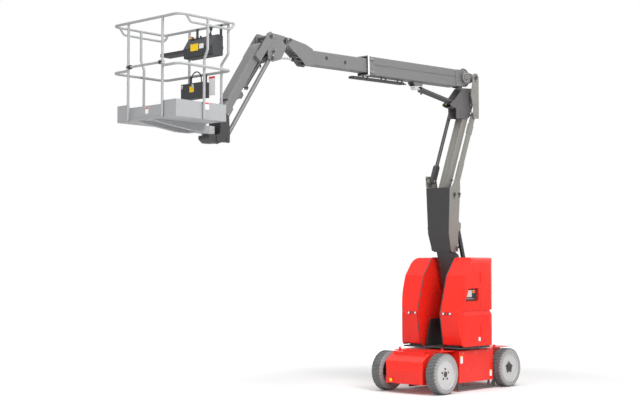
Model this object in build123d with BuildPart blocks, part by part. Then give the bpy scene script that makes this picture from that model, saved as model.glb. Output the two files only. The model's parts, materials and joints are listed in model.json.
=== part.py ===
from build123d import *
from math import atan2, cos, degrees, hypot, radians, sin
import os

# Self-propelled articulating boom lift, narrow electric type. Millimetres.
# +X points the way the boom points, +Y to the machine's left, +Z up.
# The origin is on the ground, on the slewing axis.

os.makedirs("parts", exist_ok=True)

# ---------------------------------------------------------------- clearances
RUN = 0.3            # a pin in its bore, a rod in its gland, a pad on its slide
SIDE = 1.0           # an eye between two ears, each side

# ------------------------------------------------------------------- wheels
TYRE_D = 600.0
TYRE_W = 175.0
WHEELBASE = 1660.0
OVERALL_W = 1200.0
RIM_D = 452.0        # seat of the solid tyre
RIM_WALL = 9.0
DISC_SET = 34.0      # how far the wheel disc lies inside the tyre's outer face
DISC_T = 14.0
STUD_COUNT = 5
STUD_PCD = 156.0
STUD_HOLE_D = 20.0
HUB_D = 92.0         # bore in the wheel disc
TREAD_H = 9.0
LUG_COUNT = 26
WHEEL_X = WHEELBASE / 2
WHEEL_Y = (OVERALL_W - TYRE_W) / 2
WHEEL_Z = TYRE_D / 2
TYRE_IN = WHEEL_Y - TYRE_W / 2
TYRE_OUT = WHEEL_Y + TYRE_W / 2
SPINDLE_D = 84.0
DRIVE_HUB_D = 150.0

# ------------------------------------------------------------------ chassis
BODY_FRONT = 385.0
BODY_REAR = -494.0
BODY_W = 1000.0
BODY_Z0 = 130.0
DECK_Z = 606.0       # underside of the deck plate, above the tyres
DECK_T = 12.0
DECK_W = 870.0
NECK_W = 560.0
NECK_FRONT = 960.0
STEER_NECK_W = 430.0
STEER_NECK_REAR = -1060.0
NOSE_W = 690.0
NOSE_T = 8.0
NOSE_FRONT = 1138.0
AXLE_CLEAR_D = 210.0
TIE_X = 674.0        # tie-down lugs on the deck, one by each wheel
TIE_Y = 400.0
TIE_T = 14.0
TIE_EYE_Z = 636.0
TIE_EYE_D = 22.0
TIE_LUG = ((-34, -20), (-14, 20), (14, 20), (34, -20))
GUARD_Z = 22.0       # the guard bars are down while the boom is up
GUARD_Y = 455.0
GUARD_FRONT = 378.0
GUARD_REAR = -590.0

# ---------------------------------------------------------------- steering
KINGPIN_Y = 470.0
KINGPIN_D = 44.0
KNUCKLE_W = 90.0
AXLE_EYE_Y0 = 300.0

# ---------------------------------------------------------------- turntable
SLEW_D = 560.0
SLEW_H = 22.0
TABLE_Z0 = DECK_Z + DECK_T + SLEW_H + RUN
TABLE_T = 18.0
TABLE_Z1 = TABLE_Z0 + TABLE_T
CHEEK_Y0 = 146.0     # inner faces of the turntable's side plates
CHEEK_T = 14.0
CHEEK_Y1 = CHEEK_Y0 + CHEEK_T

# -------------------------------------------------------------------- hoods
HOOD_Y0 = 206.0      # face of the gap that the arms fold into
HOOD_PANEL_T = 14.0
HOOD_Y1 = 580.0
HOOD_T = 20.0
HOOD_Z0 = 668.0
HOOD_Z1 = 2010.0
HOOD_REAR = -500.0
HOOD_FRONT = 480.0
HOOD_EDGE = 74.0     # chamfer round the outer face
HOOD_SEAM_X = -70.0
HOOD_SEAM = 4.0
HOOD_SEAL = 3.0

# -------------------------------------------------- pins of the linkage (x, z)
# lower stage
L1 = (-320.0, 904.0)
U1 = (60.0, 2147.0)
U2 = (-110.0, 2500.0)
L2 = (L1[0] + U2[0] - U1[0], L1[1] + U2[1] - U1[1])
# upper stage: one vector joins the foot and head pins of all its links
STAGE = (-530.0, 1280.0)
T1 = (-430.0, 4260.0)         # box arm
T2 = (-335.0, 4470.0)         # front link
T3 = (-555.0, 4270.0)         # side links
M1 = (T1[0] - STAGE[0], T1[1] - STAGE[1])
M2 = (T2[0] - STAGE[0], T2[1] - STAGE[1])
M3 = (T3[0] - STAGE[0], T3[1] - STAGE[1])
# tower cylinder
C1 = (85.0, 2350.0)
C2_ALONG = 520.0
C2_BACK = 22.0
# boom
B1 = (-555.0, 4865.0)
BOOM_PITCH = -1.62
P1 = (-200.0, 4430.0)         # lift cylinder's base
P2 = (805.0, 4580.0)          # lift cylinder's rod eye
# nose and jib
N1 = (3642.0, 4898.0)
J1 = (4009.0, 4895.0)
J2 = (3977.0, 4609.0)
JIB = (795.0, -1132.0)
K1 = (J1[0] + JIB[0], J1[1] + JIB[1])
K2 = (J2[0] + JIB[0], J2[1] + JIB[1])
V1 = (3100.0, 4700.0)         # level cylinder's base
V2 = (3813.0, 4655.0)         # level cylinder's rod eye
Q1 = (3960.0, 4700.0)         # jib cylinder's base
Q2_ALONG = 905.0
Q2_BACK = 120.0
ROTATOR_X = 5000.0

# ---------------------------------------------------------- arms and uprights
PIN_D = 50.0
SMALL_PIN_D = 36.0
LOWER_W = 256.0
LOWER_FRONT = 50.0
LOWER_REAR = 150.0
ARM_T = 10.0
LINK_Y0 = 98.0
LINK_Y1 = 138.0
LINK_DEPTH = 62.0
UPRIGHT_T = 12.0
UPRIGHT_REAR = -38.0
UPPER_W = 130.0
UPPER_DEPTH = 128.0
SIDE_Y0 = 98.0
SIDE_Y1 = 134.0
SIDE_DEPTH = 84.0
FRONT_LINK_Y = -118.0
FRONT_LINK_D = 60.0
TOP_Y0 = 154.0
TOP_T = 14.0
TOP_Y1 = TOP_Y0 + TOP_T
BRACKET_Y0 = 50.0
BRACKET_T = 14.0

# --------------------------------------------------------------------- boom
BOOM_W = 190.0
BOOM_H = 270.0
BOOM_WALL = 9.0
BOOM_S0 = 385.0      # from the pivot, along the boom
BOOM_S1 = 2562.0
BOOM_DROP = 32.0     # the pivot lies this far above the boom's centre line
INNER_W = 145.0
INNER_H = 205.0
INNER_WALL = 8.0
INNER_S0 = 1720.0
INNER_S1 = 3790.0
DRUM_D = 262.0
DRUM_S = 208.0
JIB_W = 145.0
JIB_H = 120.0
JIB_WALL = 7.0
JIB_LINK_D = 56.0

# ---------------------------------------------------------------- cylinders
TOWER_BORE_D = 84.0
LIFT_BORE_D = 84.0
LEVEL_BORE_D = 60.0
JIB_BORE_D = 60.0

# ----------------------------------------------------------------- platform
FLOOR_X0 = 5200.0
FLOOR_X1 = 6000.0
FLOOR_HALF_W = 545.0
FLOOR_Z = 3632.0
FLOOR_T = 22.0
TOE_H = 205.0
TOE_T = 6.0
TUBE_D = 34.0
RAIL_OUT = 28.0      # the top rail stands this far outside the toe board
RAIL_Z = 4832.0
MID_RAIL_Z = 4248.0
CORNER_R = 90.0
POST_D = 32.0
FRONT_POST_Y = 318.0


STAGE_L0 = hypot(*STAGE)


def unit(a, b):
    """The unit vector from a to b, and their distance."""
    length = hypot(b[0] - a[0], b[1] - a[1])
    return (b[0] - a[0]) / length, (b[1] - a[1]) / length, length


def on_line(a, b, along, back):
    """The point `along` a line from a to b and `back` to its left."""
    dx, dz, _ = unit(a, b)
    return a[0] + along * dx - back * dz, a[1] + along * dz + back * dx


def side_plane(y, a=(0.0, 0.0), b=(1.0, 0.0)):
    """A plane standing along the machine at height y, drawn from a towards b."""
    dx, dz, _ = unit(a, b)
    return Plane(origin=(a[0], y, a[1]), x_dir=(dx, 0, dz), z_dir=(0, -1, 0))


def plate(outline, y_from, y_to, a=(0.0, 0.0), b=(1.0, 0.0), corner=0.0, mode=Mode.ADD):
    """A plate of a given outline, from y_from to y_to."""
    with BuildSketch(side_plane(y_to, a, b)) as sketch:
        with BuildLine():
            if corner:
                FilletPolyline(*outline, radius=corner, close=True)
            else:
                Polyline(*outline, close=True)
        make_face()
    extrude(sketch.sketch, amount=y_to - y_from, mode=mode)


def disc(centre, diameter, y_from, y_to, mode=Mode.ADD):
    """A cylinder across the machine: a pin, a boss or a bore."""
    with BuildSketch(side_plane(y_to)) as sketch:
        with Locations(centre):
            Circle(diameter / 2)
    extrude(sketch.sketch, amount=y_to - y_from, mode=mode)


def bar(a, b, depth, y_from, y_to, mode=Mode.ADD):
    """A flat bar with round ends, centred on two pins."""
    length = unit(a, b)[2]
    with BuildSketch(side_plane(y_to, a, b)) as sketch:
        with Locations((length / 2, 0)):
            SlotCenterToCenter(length, depth)
    extrude(sketch.sketch, amount=y_to - y_from, mode=mode)


def block(x0, x1, y0, y1, z0, z1, mode=Mode.ADD):
    """A block from its low corner to its high corner."""
    with Locations(((x0 + x1) / 2, (y0 + y1) / 2, (z0 + z1) / 2)):
        Box(x1 - x0, y1 - y0, z1 - z0, mode=mode)


def rod(a, b, y, diameter, s_from, s_to, mode=Mode.ADD):
    """A round bar along the line from a to b, at one y."""
    dx, dz, _ = unit(a, b)
    start = (a[0] + dx * s_from, y, a[1] + dz * s_from)
    with BuildSketch(Plane(origin=start, z_dir=(dx, 0, dz), x_dir=(0, 1, 0))) as sketch:
        Circle(diameter / 2)
    extrude(sketch.sketch, amount=s_to - s_from, mode=mode)


def mirrored(y_low, y_high):
    """The same span of y on both sides of the machine."""
    return ((y_low, y_high), (-y_high, -y_low))


def save(builder, label):
    """Name a finished piece and write it."""
    builder.part.label = label
    export_step(builder.part, f"parts/{label}.step")


# ------------------------------------------------------- outlines and tables
BODY_IN = BODY_W / 2 - 20
BEAM_W = 130.0
BEAM_H = 120.0
BEAM_END = 380.0
EYE_D = 84.0
EYE_H = 110.0
FORK_T = 22.0
WEB_Y0 = KINGPIN_Y + 50
SPINDLE_Y = TYRE_OUT - DISC_SET + 10
MOTOR_Y0 = 400.0
MOTOR_Y1 = 530.0
GEARBOX_D = 190.0
NOSE_X0 = 640.0
NOSE_PROFILE = ((NOSE_X0, DECK_Z - 0.5), (NOSE_FRONT - 250, DECK_Z - 0.5), (NOSE_FRONT - 56, 470),
                (NOSE_FRONT, 330), (NOSE_FRONT - 33, 140), (NOSE_X0, 140))
NOSE_PLAN = ((NOSE_X0, -NOSE_W / 2), (NOSE_FRONT - 60, -NOSE_W / 2), (NOSE_FRONT + 2, -NOSE_W / 2 + 62),
             (NOSE_FRONT + 2, NOSE_W / 2 - 62), (NOSE_FRONT - 60, NOSE_W / 2), (NOSE_X0, NOSE_W / 2))
TABLE_PLAN = ((-495, -400), (-330, -565), (380, -565), (440, -500), (440, 500), (380, 565), (-330, 565), (-495, 400))
CHEEK = ((-548, TABLE_Z1 - 2), (-556, 1330), (-410, 1330), (-230, 1010), (-60, 1010), (15, 1070), (236, 1070),
         (340, TABLE_Z1 - 2))
HOOD_TOP_R = 110.0
HINGE_Y = HOOD_Y1 + 4
HINGE_LEVELS = (820.0, 1640.0)
KNUCKLE_D = 18.0
HINGE_PIN_D = 9.0
HOOD_FRONT_R = 130.0
HOOD_REAR_R = 200.0
HOOD_PROFILE = ((HOOD_FRONT, 1156), (308, 1735), (96, HOOD_Z1),
                (HOOD_REAR + 30, HOOD_Z1), (HOOD_REAR, HOOD_Z1 - 120))
UPRIGHT_LEAN = 2.7
UPRIGHT_Z0 = 2100.0
UPRIGHT_Y = 176.0    # outer face of a plate at its low end
UPRIGHT_BOSS_Y = 140.0
EAR_Y0 = 142.0
EAR_Y1 = 154.0
UPRIGHT_NEAR = ((-50, 2100), (-38, 2420), (-50, 3090), (-28, 3240), (70, 3240), (150, 3110), (218, 3060), (212, 2380),
                (138, 2130), (100, 2095))
UPRIGHT_FAR = ((-50, 2100), (-38, 2420), (-50, 3090), (-20, 3270), (236, 3270), (236, 3106), (216, 3088), (216, 2380),
               (138, 2130), (100, 2095))
COVER_PROFILE = ((232, 3082), (225, 2376), (145, 2110), (137, 2113), (217, 2378), (224, 3082))
COVER_EDGE = ((178, 2090), (196, 2376), (223, 3095))
UPPER_WEBS = (
    # s from, s to, t from, t to
    (30, STAGE_L0 - 30, -44, -34),
    (820, STAGE_L0 - 40, 52, 62),
)
TUBE_A = (-528.0, 4652.0)
TUBE_B = (-550.0, 4441.0)
TOP_PLATE = ((-640, 4212), (-640, 4880), (-600, 4930), (-520, 4930), (-498, 4880), (-440, 4570), (-500, 4380), (-500, 4212))
FAN_Y0 = 70.0
FAN_Y1 = 82.0
FAN = ((-588, 4400), (-600, 4700), (-333, 4680), (-110, 4470), (0, 4400), (-20, 4370), (-160, 4352), (-160, 4180),
       (-280, 4200), (-400, 4200), (-490, 4225))
LUG_T = 14.0
EYE_HALF = 44.0
BOOM_LUG = ((-56, -40), (-56, 50), (20, 60), (330, 100), (440, 100), (440, -160), (330, -160), (60, -90))
LIFT_EAR_S = unit(B1, P2)[2]
LIFT_EAR = ((1235, -BOOM_DROP - BOOM_H / 2 - 62), (1235, -BOOM_DROP - BOOM_H / 2 + 1), (1480, -BOOM_DROP - BOOM_H / 2 + 1),
            (1410, -BOOM_DROP - BOOM_H / 2 - 62))
GOOSENECK = ((3150, 4842), (3293, 4889), (3618, 4936), (3672, 4926), (3680, 4860), (3369, 4666), (3293, 4606), (3150, 4610))
NOSE_Y0 = 99.0
NOSE_PLATE_T = 11.0
NOSE_EAR_Y0 = 54.0
WEB_X0 = 3872.0
NOSE_EAR = ((3606, 4870), (3612, 4938), (WEB_X0 + 1, 4938), (WEB_X0 + 1, 4625), (3785, 4620), (3660, 4860))
NOSE_PLATE = ((4020, 4950), (3704, 4934), (3777, 4863), (3691, 4814), (3752, 4695), (3806, 4616), (3957, 4566),
              (4040, 4600), (4060, 4758), (4066, 4930))
JIB_S0 = 165.0
JIB_S1 = 1250.0
JIB_T_MID = 5.0
JIB_TOP = JIB_T_MID + JIB_H / 2
JIB_LUG_Y0 = NOSE_Y0 + NOSE_PLATE_T + 5.5
JIB_LUG = ((-52, -48), (-52, 50), (60, 56), (400, 60), (400, -50), (60, -52))
JIB_END = ((1180, -76), (1180, 60), (1395, 54), (1436, 30), (1436, -30), (1400, -76))
JIB_LINK_Y = 66.0
JIB_CYL_Y = -30.0
JIB_EYE_HALF = 22.0
Q2 = (J1[0] + JIB[0] / hypot(*JIB) * Q2_ALONG + JIB[1] / hypot(*JIB) * Q2_BACK,
      J1[1] + JIB[1] / hypot(*JIB) * Q2_ALONG - JIB[0] / hypot(*JIB) * Q2_BACK)
JIB_EAR = ((Q2_ALONG - 70, -54), (Q2_ALONG + 90, -54), (Q2_ALONG + 34, -Q2_BACK - 34), (Q2_ALONG - 34, -Q2_BACK - 34))
SUPPORT = ((4740, 3780), (4790, 3815), (4872, 3815), (4888, 3640), (4892, 3545), (4950, 3512), (4950, 3440), (4728, 3436), (4725, 3560))
ROTATOR_BLOCK = ((4880, 3424), (4880, 3518), (5074, 3518), (5074, 3470), (5010, 3424))
ROTATOR_Z = 3530.0 + RUN
BEAM_TOP = FLOOR_Z
RAIL_X0 = FLOOR_X0 - TUBE_D / 2
RAIL_X1 = FLOOR_X1 + TUBE_D / 2
RAIL_Y = FLOOR_HALF_W + 75
TOE_BOARDS = (
    # x from, x to, y from, y to, height
    (FLOOR_X0, FLOOR_X0 + TOE_T, -FLOOR_HALF_W, FLOOR_HALF_W, TOE_H),
    (FLOOR_X0, FLOOR_X1, -FLOOR_HALF_W, -FLOOR_HALF_W + TOE_T, TOE_H),
    (FLOOR_X0, FLOOR_X1, FLOOR_HALF_W - TOE_T, FLOOR_HALF_W, TOE_H),
    (FLOOR_X1 - TOE_T, FLOOR_X1, -FLOOR_HALF_W, -FRONT_POST_Y, TOE_H),
    (FLOOR_X1 - TOE_T, FLOOR_X1, FRONT_POST_Y, FLOOR_HALF_W, TOE_H),
)
KINK_Z = 4460.0
TOE_Y = FLOOR_HALF_W + POST_D / 2
POSTS = (
    # x, y at the top rail, y at the floor
    (RAIL_X1, -FRONT_POST_Y, -FRONT_POST_Y),
    (RAIL_X1, FRONT_POST_Y, FRONT_POST_Y),
    (5575.0, -RAIL_Y, -TOE_Y),
    (5575.0, RAIL_Y, TOE_Y),
    (RAIL_X0, 560.0, 440.0),
    (RAIL_X0, -150.0, -150.0),
)
GATE_X = RAIL_X1
GATE_Z = MID_RAIL_Z + 42
CONSOLE = ((RAIL_X0 + 24, 4440), (RAIL_X0 + 24, 4690), (RAIL_X0 + 110, 4700), (RAIL_X0 + 200, 4560), (RAIL_X0 + 190, 4440))


# ================================================================== chassis
with BuildPart() as chassis_frame:
    block(BODY_REAR, BODY_FRONT, -BODY_IN, BODY_IN, BODY_Z0 + 10, DECK_Z)
    block(BODY_FRONT - 1, NECK_FRONT, -NECK_W / 2, NECK_W / 2, BODY_Z0 + 40, DECK_Z)
    block(STEER_NECK_REAR, BODY_REAR + 1, -STEER_NECK_W / 2, STEER_NECK_W / 2, BODY_Z0 + 40, DECK_Z)
    block(STEER_NECK_REAR - 20, WHEEL_X - 60, -DECK_W / 2, DECK_W / 2, DECK_Z, DECK_Z + DECK_T)
    block(BODY_REAR, BODY_FRONT, -BODY_IN, BODY_IN, DECK_Z, DECK_Z + DECK_T)
    for x in (-WHEEL_X, WHEEL_X):
        block(x - BEAM_W / 2, x + BEAM_W / 2, -NECK_W, NECK_W, WHEEL_Z - BEAM_H / 2, WHEEL_Z + BEAM_H / 2,
              mode=Mode.SUBTRACT)
    # plates under the deck's rear end
    plate(((STEER_NECK_REAR - 60, DECK_Z + 1), (STEER_NECK_REAR - 60, 300), (STEER_NECK_REAR - 20, BODY_Z0 + 20),
           (STEER_NECK_REAR + 1, BODY_Z0 + 20), (STEER_NECK_REAR + 1, DECK_Z + 1)),
          -STEER_NECK_W / 2, STEER_NECK_W / 2)
    for x in (-TIE_X, TIE_X):
        for low, high in mirrored(TIE_Y - TIE_T / 2, TIE_Y + TIE_T / 2):
            plate(TIE_LUG, low, high, (x, TIE_EYE_Z), (x + 1, TIE_EYE_Z))
            disc((x, TIE_EYE_Z), TIE_EYE_D, low - 1, high + 1, mode=Mode.SUBTRACT)
save(chassis_frame, "chassis_frame")

# side panels between the wheels, bent over the deck's edge
with BuildPart() as side_panels:
    with BuildSketch(Plane.YZ.offset(BODY_REAR)) as panel_section:
        with BuildLine():
            FilletPolyline(
                (BODY_IN, BODY_Z0), (BODY_W / 2, BODY_Z0), (BODY_W / 2, DECK_Z + DECK_T), (BODY_IN, DECK_Z + DECK_T),
                radius=[0.01, 14, 19.9, 0.01], close=True)
        make_face()
    extrude(panel_section.sketch, amount=BODY_FRONT - BODY_REAR)
    mirror(about=Plane.XZ)
save(side_panels, "side_panels")

# nose cover: side profile met with a plan that has its front corners cut
with BuildPart() as nose_outer:
    plate(NOSE_PROFILE, -NOSE_W / 2, NOSE_W / 2, corner=34)
    with BuildSketch(Plane.XY.offset(60)) as nose_plan:
        with BuildLine():
            Polyline(*NOSE_PLAN, close=True)
        make_face()
    extrude(nose_plan.sketch, amount=DECK_Z, mode=Mode.INTERSECT)
with BuildPart() as nose_cover:
    add(nose_outer.part)
    block(NOSE_X0 - 1, NECK_FRONT + 1, -NECK_W / 2, NECK_W / 2, 100, DECK_Z, mode=Mode.SUBTRACT)
    block(NOSE_X0 - 1, NECK_FRONT - 40, -NOSE_W / 2 + NOSE_T, NOSE_W / 2 - NOSE_T, 100, DECK_Z, mode=Mode.SUBTRACT)
    block(NECK_FRONT - 60, NOSE_FRONT - 70, -NOSE_W / 2 + 60, NOSE_W / 2 - 60, 100, 470, mode=Mode.SUBTRACT)
    disc((WHEEL_X, WHEEL_Z), AXLE_CLEAR_D, -NOSE_W, NOSE_W, mode=Mode.SUBTRACT)
save(nose_cover, "nose_cover")

# ==================================================================== axles
# fixed axle: a beam with a drive gearbox at each end
with BuildPart() as fixed_axle:
    block(WHEEL_X - BEAM_W / 2, WHEEL_X + BEAM_W / 2, -MOTOR_Y0, MOTOR_Y0, WHEEL_Z - BEAM_H / 2, WHEEL_Z + BEAM_H / 2)
    for low, high in mirrored(MOTOR_Y0, MOTOR_Y1):
        disc((WHEEL_X, WHEEL_Z), GEARBOX_D, low, high)
    disc((WHEEL_X, WHEEL_Z), SPINDLE_D, -SPINDLE_Y, SPINDLE_Y)
save(fixed_axle, "fixed_axle")

# steering axle: a beam with a kingpin eye at each end
with BuildPart() as steer_axle:
    block(-WHEEL_X - BEAM_W / 2, -WHEEL_X + BEAM_W / 2, -BEAM_END, BEAM_END, WHEEL_Z - BEAM_H / 2, WHEEL_Z + BEAM_H / 2)
    for side in (-1, 1):
        with Locations((-WHEEL_X, side * (BEAM_END + KINGPIN_Y) / 2, WHEEL_Z)):
            Box(EYE_D * 0.8, KINGPIN_Y - BEAM_END + 2, EYE_H)
        with Locations((-WHEEL_X, side * KINGPIN_Y, WHEEL_Z)):
            Cylinder(EYE_D / 2, EYE_H)
        with Locations((-WHEEL_X, side * KINGPIN_Y, WHEEL_Z)):
            Cylinder(KINGPIN_D / 2 + RUN, EYE_H + 2, mode=Mode.SUBTRACT)
save(steer_axle, "steer_axle")

# knuckles: a fork over the eye, a web outside it and the spindle
for name, side in (("knuckle_left", 1), ("knuckle_right", -1)):
    with BuildPart() as knuckle:
        with Locations((-WHEEL_X, side * KINGPIN_Y, WHEEL_Z)):
            Cylinder(KINGPIN_D / 2, EYE_H + 2 * FORK_T + 6)
        for low in (WHEEL_Z + EYE_H / 2 + SIDE, WHEEL_Z - EYE_H / 2 - SIDE - FORK_T):
            with Locations((-WHEEL_X, side * (KINGPIN_Y + 10), low + FORK_T / 2)):
                Box(EYE_D, 60 + 20, FORK_T)
        with Locations((-WHEEL_X, side * (WEB_Y0 + FORK_T / 2), WHEEL_Z)):
            Box(EYE_D, FORK_T, EYE_H + 2 * SIDE + 2 * FORK_T)
        low, high = sorted((side * WEB_Y0, side * SPINDLE_Y))
        disc((-WHEEL_X, WHEEL_Z), SPINDLE_D, low, high)
    save(knuckle, name)

# =================================================================== wheels
WHEELS = (
    # name, x, side
    ("fl", WHEEL_X, 1),
    ("fr", WHEEL_X, -1),
    ("rl", -WHEEL_X, 1),
    ("rr", -WHEEL_X, -1),
)
for name, wheel_x, side in WHEELS:
    axle = Axis((wheel_x, 0, WHEEL_Z), (0, 1, 0))
    low, high = sorted((side * TYRE_IN, side * TYRE_OUT))
    with BuildPart() as tyre:
        with BuildSketch(Plane(origin=(wheel_x, side * WHEEL_Y, WHEEL_Z), x_dir=(0, 1, 0), z_dir=(1, 0, 0))) as ring:
            with BuildLine():
                FilletPolyline(
                    (-TYRE_W / 2, RIM_D / 2), (-TYRE_W / 2, TYRE_D / 2), (TYRE_W / 2, TYRE_D / 2), (TYRE_W / 2, RIM_D / 2),
                    radius=[0.01, 22, 22, 0.01], close=True)
            make_face()
        revolve(ring.sketch, axis=axle)
    save(tyre, f"tyre_{name}")
    out = side * TYRE_OUT
    with BuildPart() as rim:
        disc((wheel_x, WHEEL_Z), RIM_D, low + 3, high - 3)
        disc((wheel_x, WHEEL_Z), RIM_D - 2 * RIM_WALL, low, high, mode=Mode.SUBTRACT)
        disc_low, disc_high = sorted((out - side * DISC_SET, out - side * (DISC_SET + DISC_T)))
        disc((wheel_x, WHEEL_Z), RIM_D - RIM_WALL, disc_low, disc_high)
        boss_low, boss_high = sorted((out - side * (DISC_SET - 8), out - side * (DISC_SET + DISC_T + 6)))
        disc((wheel_x, WHEEL_Z), HUB_D + 34, boss_low, boss_high)
        disc((wheel_x, WHEEL_Z), SPINDLE_D + 2 * RUN, boss_low - 1, boss_high + 1, mode=Mode.SUBTRACT)
    save(rim, f"rim_{name}")

# guard bars between the wheels
with BuildPart() as guards:
    for low, high in mirrored(GUARD_Y - 8, GUARD_Y + 8):
        block(GUARD_REAR, GUARD_FRONT, low, high, GUARD_Z, GUARD_Z + 36)
        for x in (GUARD_REAR + 130, GUARD_FRONT - 60):
            block(x, x + 44, low, high, GUARD_Z + 35, BODY_Z0 + 10)
save(guards, "pothole_guards")

# ================================================================ turntable
with BuildPart() as slew_ring:
    with Locations((0, 0, DECK_Z + DECK_T + SLEW_H / 2)):
        Cylinder(SLEW_D / 2, SLEW_H)
save(slew_ring, "slew_ring")

with BuildPart() as turntable_base:
    with BuildSketch(Plane.XY.offset(TABLE_Z0)) as table_plan:
        with BuildLine():
            Polyline(*TABLE_PLAN, close=True)
        make_face()
    extrude(table_plan.sketch, amount=TABLE_T)
    for low, high in mirrored(CHEEK_Y0, CHEEK_Y1):
        plate(CHEEK, low, high, corner=30)
        for pin in (L1, L2):
            disc(pin, PIN_D + 46, low - 2 if low > 0 else low, high if low > 0 else high + 2)
    disc(L1, PIN_D, -CHEEK_Y1 - 6, CHEEK_Y1 + 6)
    disc(L2, PIN_D, -CHEEK_Y1 - 6, CHEEK_Y1 + 6)
save(turntable_base, "turntable_base")

# hoods: a side profile, a cross-section and a plan, met with each other
def hood_form(inset, bottom):
    """The form of the left hood, drawn in by an inset, down to a given height."""
    with BuildPart() as form:
        with BuildSketch(side_plane(HOOD_Y1 + 1)) as profile:
            with BuildLine():
                FilletPolyline((HOOD_REAR, bottom), (400, bottom), *HOOD_PROFILE, radius=60, close=True)
            make_face()
            offset(amount=-inset)
        extrude(profile.sketch, amount=HOOD_Y1)
        with BuildSketch(Plane.YZ.offset(HOOD_REAR - 1)) as section:
            with BuildLine():
                FilletPolyline((0, bottom), (HOOD_Y1, bottom), (HOOD_Y1, HOOD_Z1), (0, HOOD_Z1),
                               radius=[1, 12, HOOD_TOP_R, 1], close=True)
            make_face()
            if inset:
                offset(amount=-inset)
        extrude(section.sketch, amount=HOOD_FRONT - HOOD_REAR + 2, mode=Mode.INTERSECT)
        with BuildSketch(Plane.XY.offset(bottom - 1)) as plan:
            with BuildLine():
                FilletPolyline((HOOD_REAR, 0), (HOOD_FRONT, 0), (HOOD_FRONT, HOOD_Y1), (HOOD_REAR, HOOD_Y1),
                               radius=[1, 1, HOOD_FRONT_R, HOOD_REAR_R], close=True)
            make_face()
            if inset:
                offset(amount=-inset)
        extrude(plan.sketch, amount=HOOD_Z1 + 200, mode=Mode.INTERSECT)
    return form.part


hood_outer = hood_form(0, HOOD_Z0)
hood_inner = hood_form(HOOD_T, HOOD_Z0 - 100)
HOOD_IN = HOOD_Y0 + HOOD_PANEL_T
HOODS = (
    # name, x from, x to
    ("hood", HOOD_SEAM_X + HOOD_SEAM / 2, HOOD_FRONT + 5),
    ("tail", HOOD_REAR - 5, HOOD_SEAM_X - HOOD_SEAM / 2),
)
for name, x_from, x_to in HOODS:
    with BuildPart() as shell:
        add(hood_outer)
        add(hood_inner, mode=Mode.SUBTRACT)
        block(x_from, x_to, HOOD_IN + (HOOD_SEAL if name == "hood" else 0), HOOD_Y1 + 5, 0, HOOD_Z1 + 5,
              mode=Mode.INTERSECT)
        for level in HINGE_LEVELS:
            for z_from, z_to, owner in ((level, level + 44, "tail"), (level + 44, level + 96, "hood"),
                                        (level + 96, level + 140, "tail")):
                with Locations((HOOD_SEAM_X, HINGE_Y, (z_from + z_to) / 2)):
                    if owner == name:
                        Cylinder(KNUCKLE_D / 2, z_to - z_from - 1)
                    else:
                        Cylinder(KNUCKLE_D / 2 + 1, z_to - z_from, mode=Mode.SUBTRACT)
            with Locations((HOOD_SEAM_X, HINGE_Y, level + 70)):
                if name == "tail":
                    Cylinder(HINGE_PIN_D / 2, 130)
                else:
                    Cylinder(HINGE_PIN_D / 2 + RUN, 140, mode=Mode.SUBTRACT)
    save(shell, f"{name}_left")
    with BuildPart() as shell_right:
        add(mirror(shell.part, about=Plane.XZ))
    save(shell_right, f"{name}_right")

with BuildPart() as panel_form:
    add(hood_outer)
    block(HOOD_REAR - 5, HOOD_FRONT + 5, HOOD_Y0, HOOD_IN, 0, HOOD_Z1 + 5, mode=Mode.INTERSECT)
    mirror(about=Plane.XZ)
save(panel_form, "inner_panels")

# batteries in front, cast counterweights behind
with BuildPart() as batteries:
    for low, high in mirrored(HOOD_IN + 20, HOOD_Y1 - 120):
        block(HOOD_SEAM_X + 30, 350, low, high, TABLE_Z1, TABLE_Z1 + 620)
save(batteries, "batteries")
with BuildPart() as counterweights:
    for low, high in mirrored(HOOD_IN, HOOD_Y1 - 130):
        block(HOOD_REAR + 60, HOOD_SEAM_X - 30, low, high, TABLE_Z1, TABLE_Z1 + 760)
save(counterweights, "counterweights")

# ============================================================== lower stage
LOWER_L = unit(L1, U1)[2]
with BuildPart() as lower_arm:
    plate(((-62, -LOWER_FRONT), (LOWER_L + 52, -LOWER_FRONT), (LOWER_L + 52, LOWER_FRONT), (LOWER_L - 45, LOWER_FRONT),
           (LOWER_L - 145, LOWER_REAR), (-62, LOWER_REAR)), -LOWER_W / 2, LOWER_W / 2, L1, U1, corner=14)
    plate(((-70, -LOWER_FRONT + ARM_T), (LOWER_L + 60, -LOWER_FRONT + ARM_T), (LOWER_L + 60, LOWER_FRONT - ARM_T),
           (LOWER_L - 49, LOWER_FRONT - ARM_T), (LOWER_L - 149, LOWER_REAR - ARM_T), (-70, LOWER_REAR - ARM_T)),
          -LOWER_W / 2 + ARM_T, LOWER_W / 2 - ARM_T, L1, U1, mode=Mode.SUBTRACT)
    for pin, reach in ((L1, CHEEK_Y0 - 2 - SIDE), (U1, UPRIGHT_BOSS_Y - SIDE)):
        disc(pin, PIN_D + 40, -reach, reach)
        disc(pin, PIN_D + 2 * RUN, -reach - 1, reach + 1, mode=Mode.SUBTRACT)
save(lower_arm, "lower_arm")

with BuildPart() as lower_link:
    for low, high in mirrored(LINK_Y0, LINK_Y1):
        bar(L2, U2, LINK_DEPTH, low, high)
    disc(L2, PIN_D + 34, -CHEEK_Y0 + 2 + SIDE, CHEEK_Y0 - 2 - SIDE)
    for along in (320, 640, 960):
        disc(on_line(L2, U2, along, 0), 40, -LINK_Y0, LINK_Y0)
    disc(L2, PIN_D + 2 * RUN, -CHEEK_Y1, CHEEK_Y1, mode=Mode.SUBTRACT)
    disc(U2, SMALL_PIN_D + 2 * RUN, -CHEEK_Y1, CHEEK_Y1, mode=Mode.SUBTRACT)
save(lower_link, "lower_link")

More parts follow.
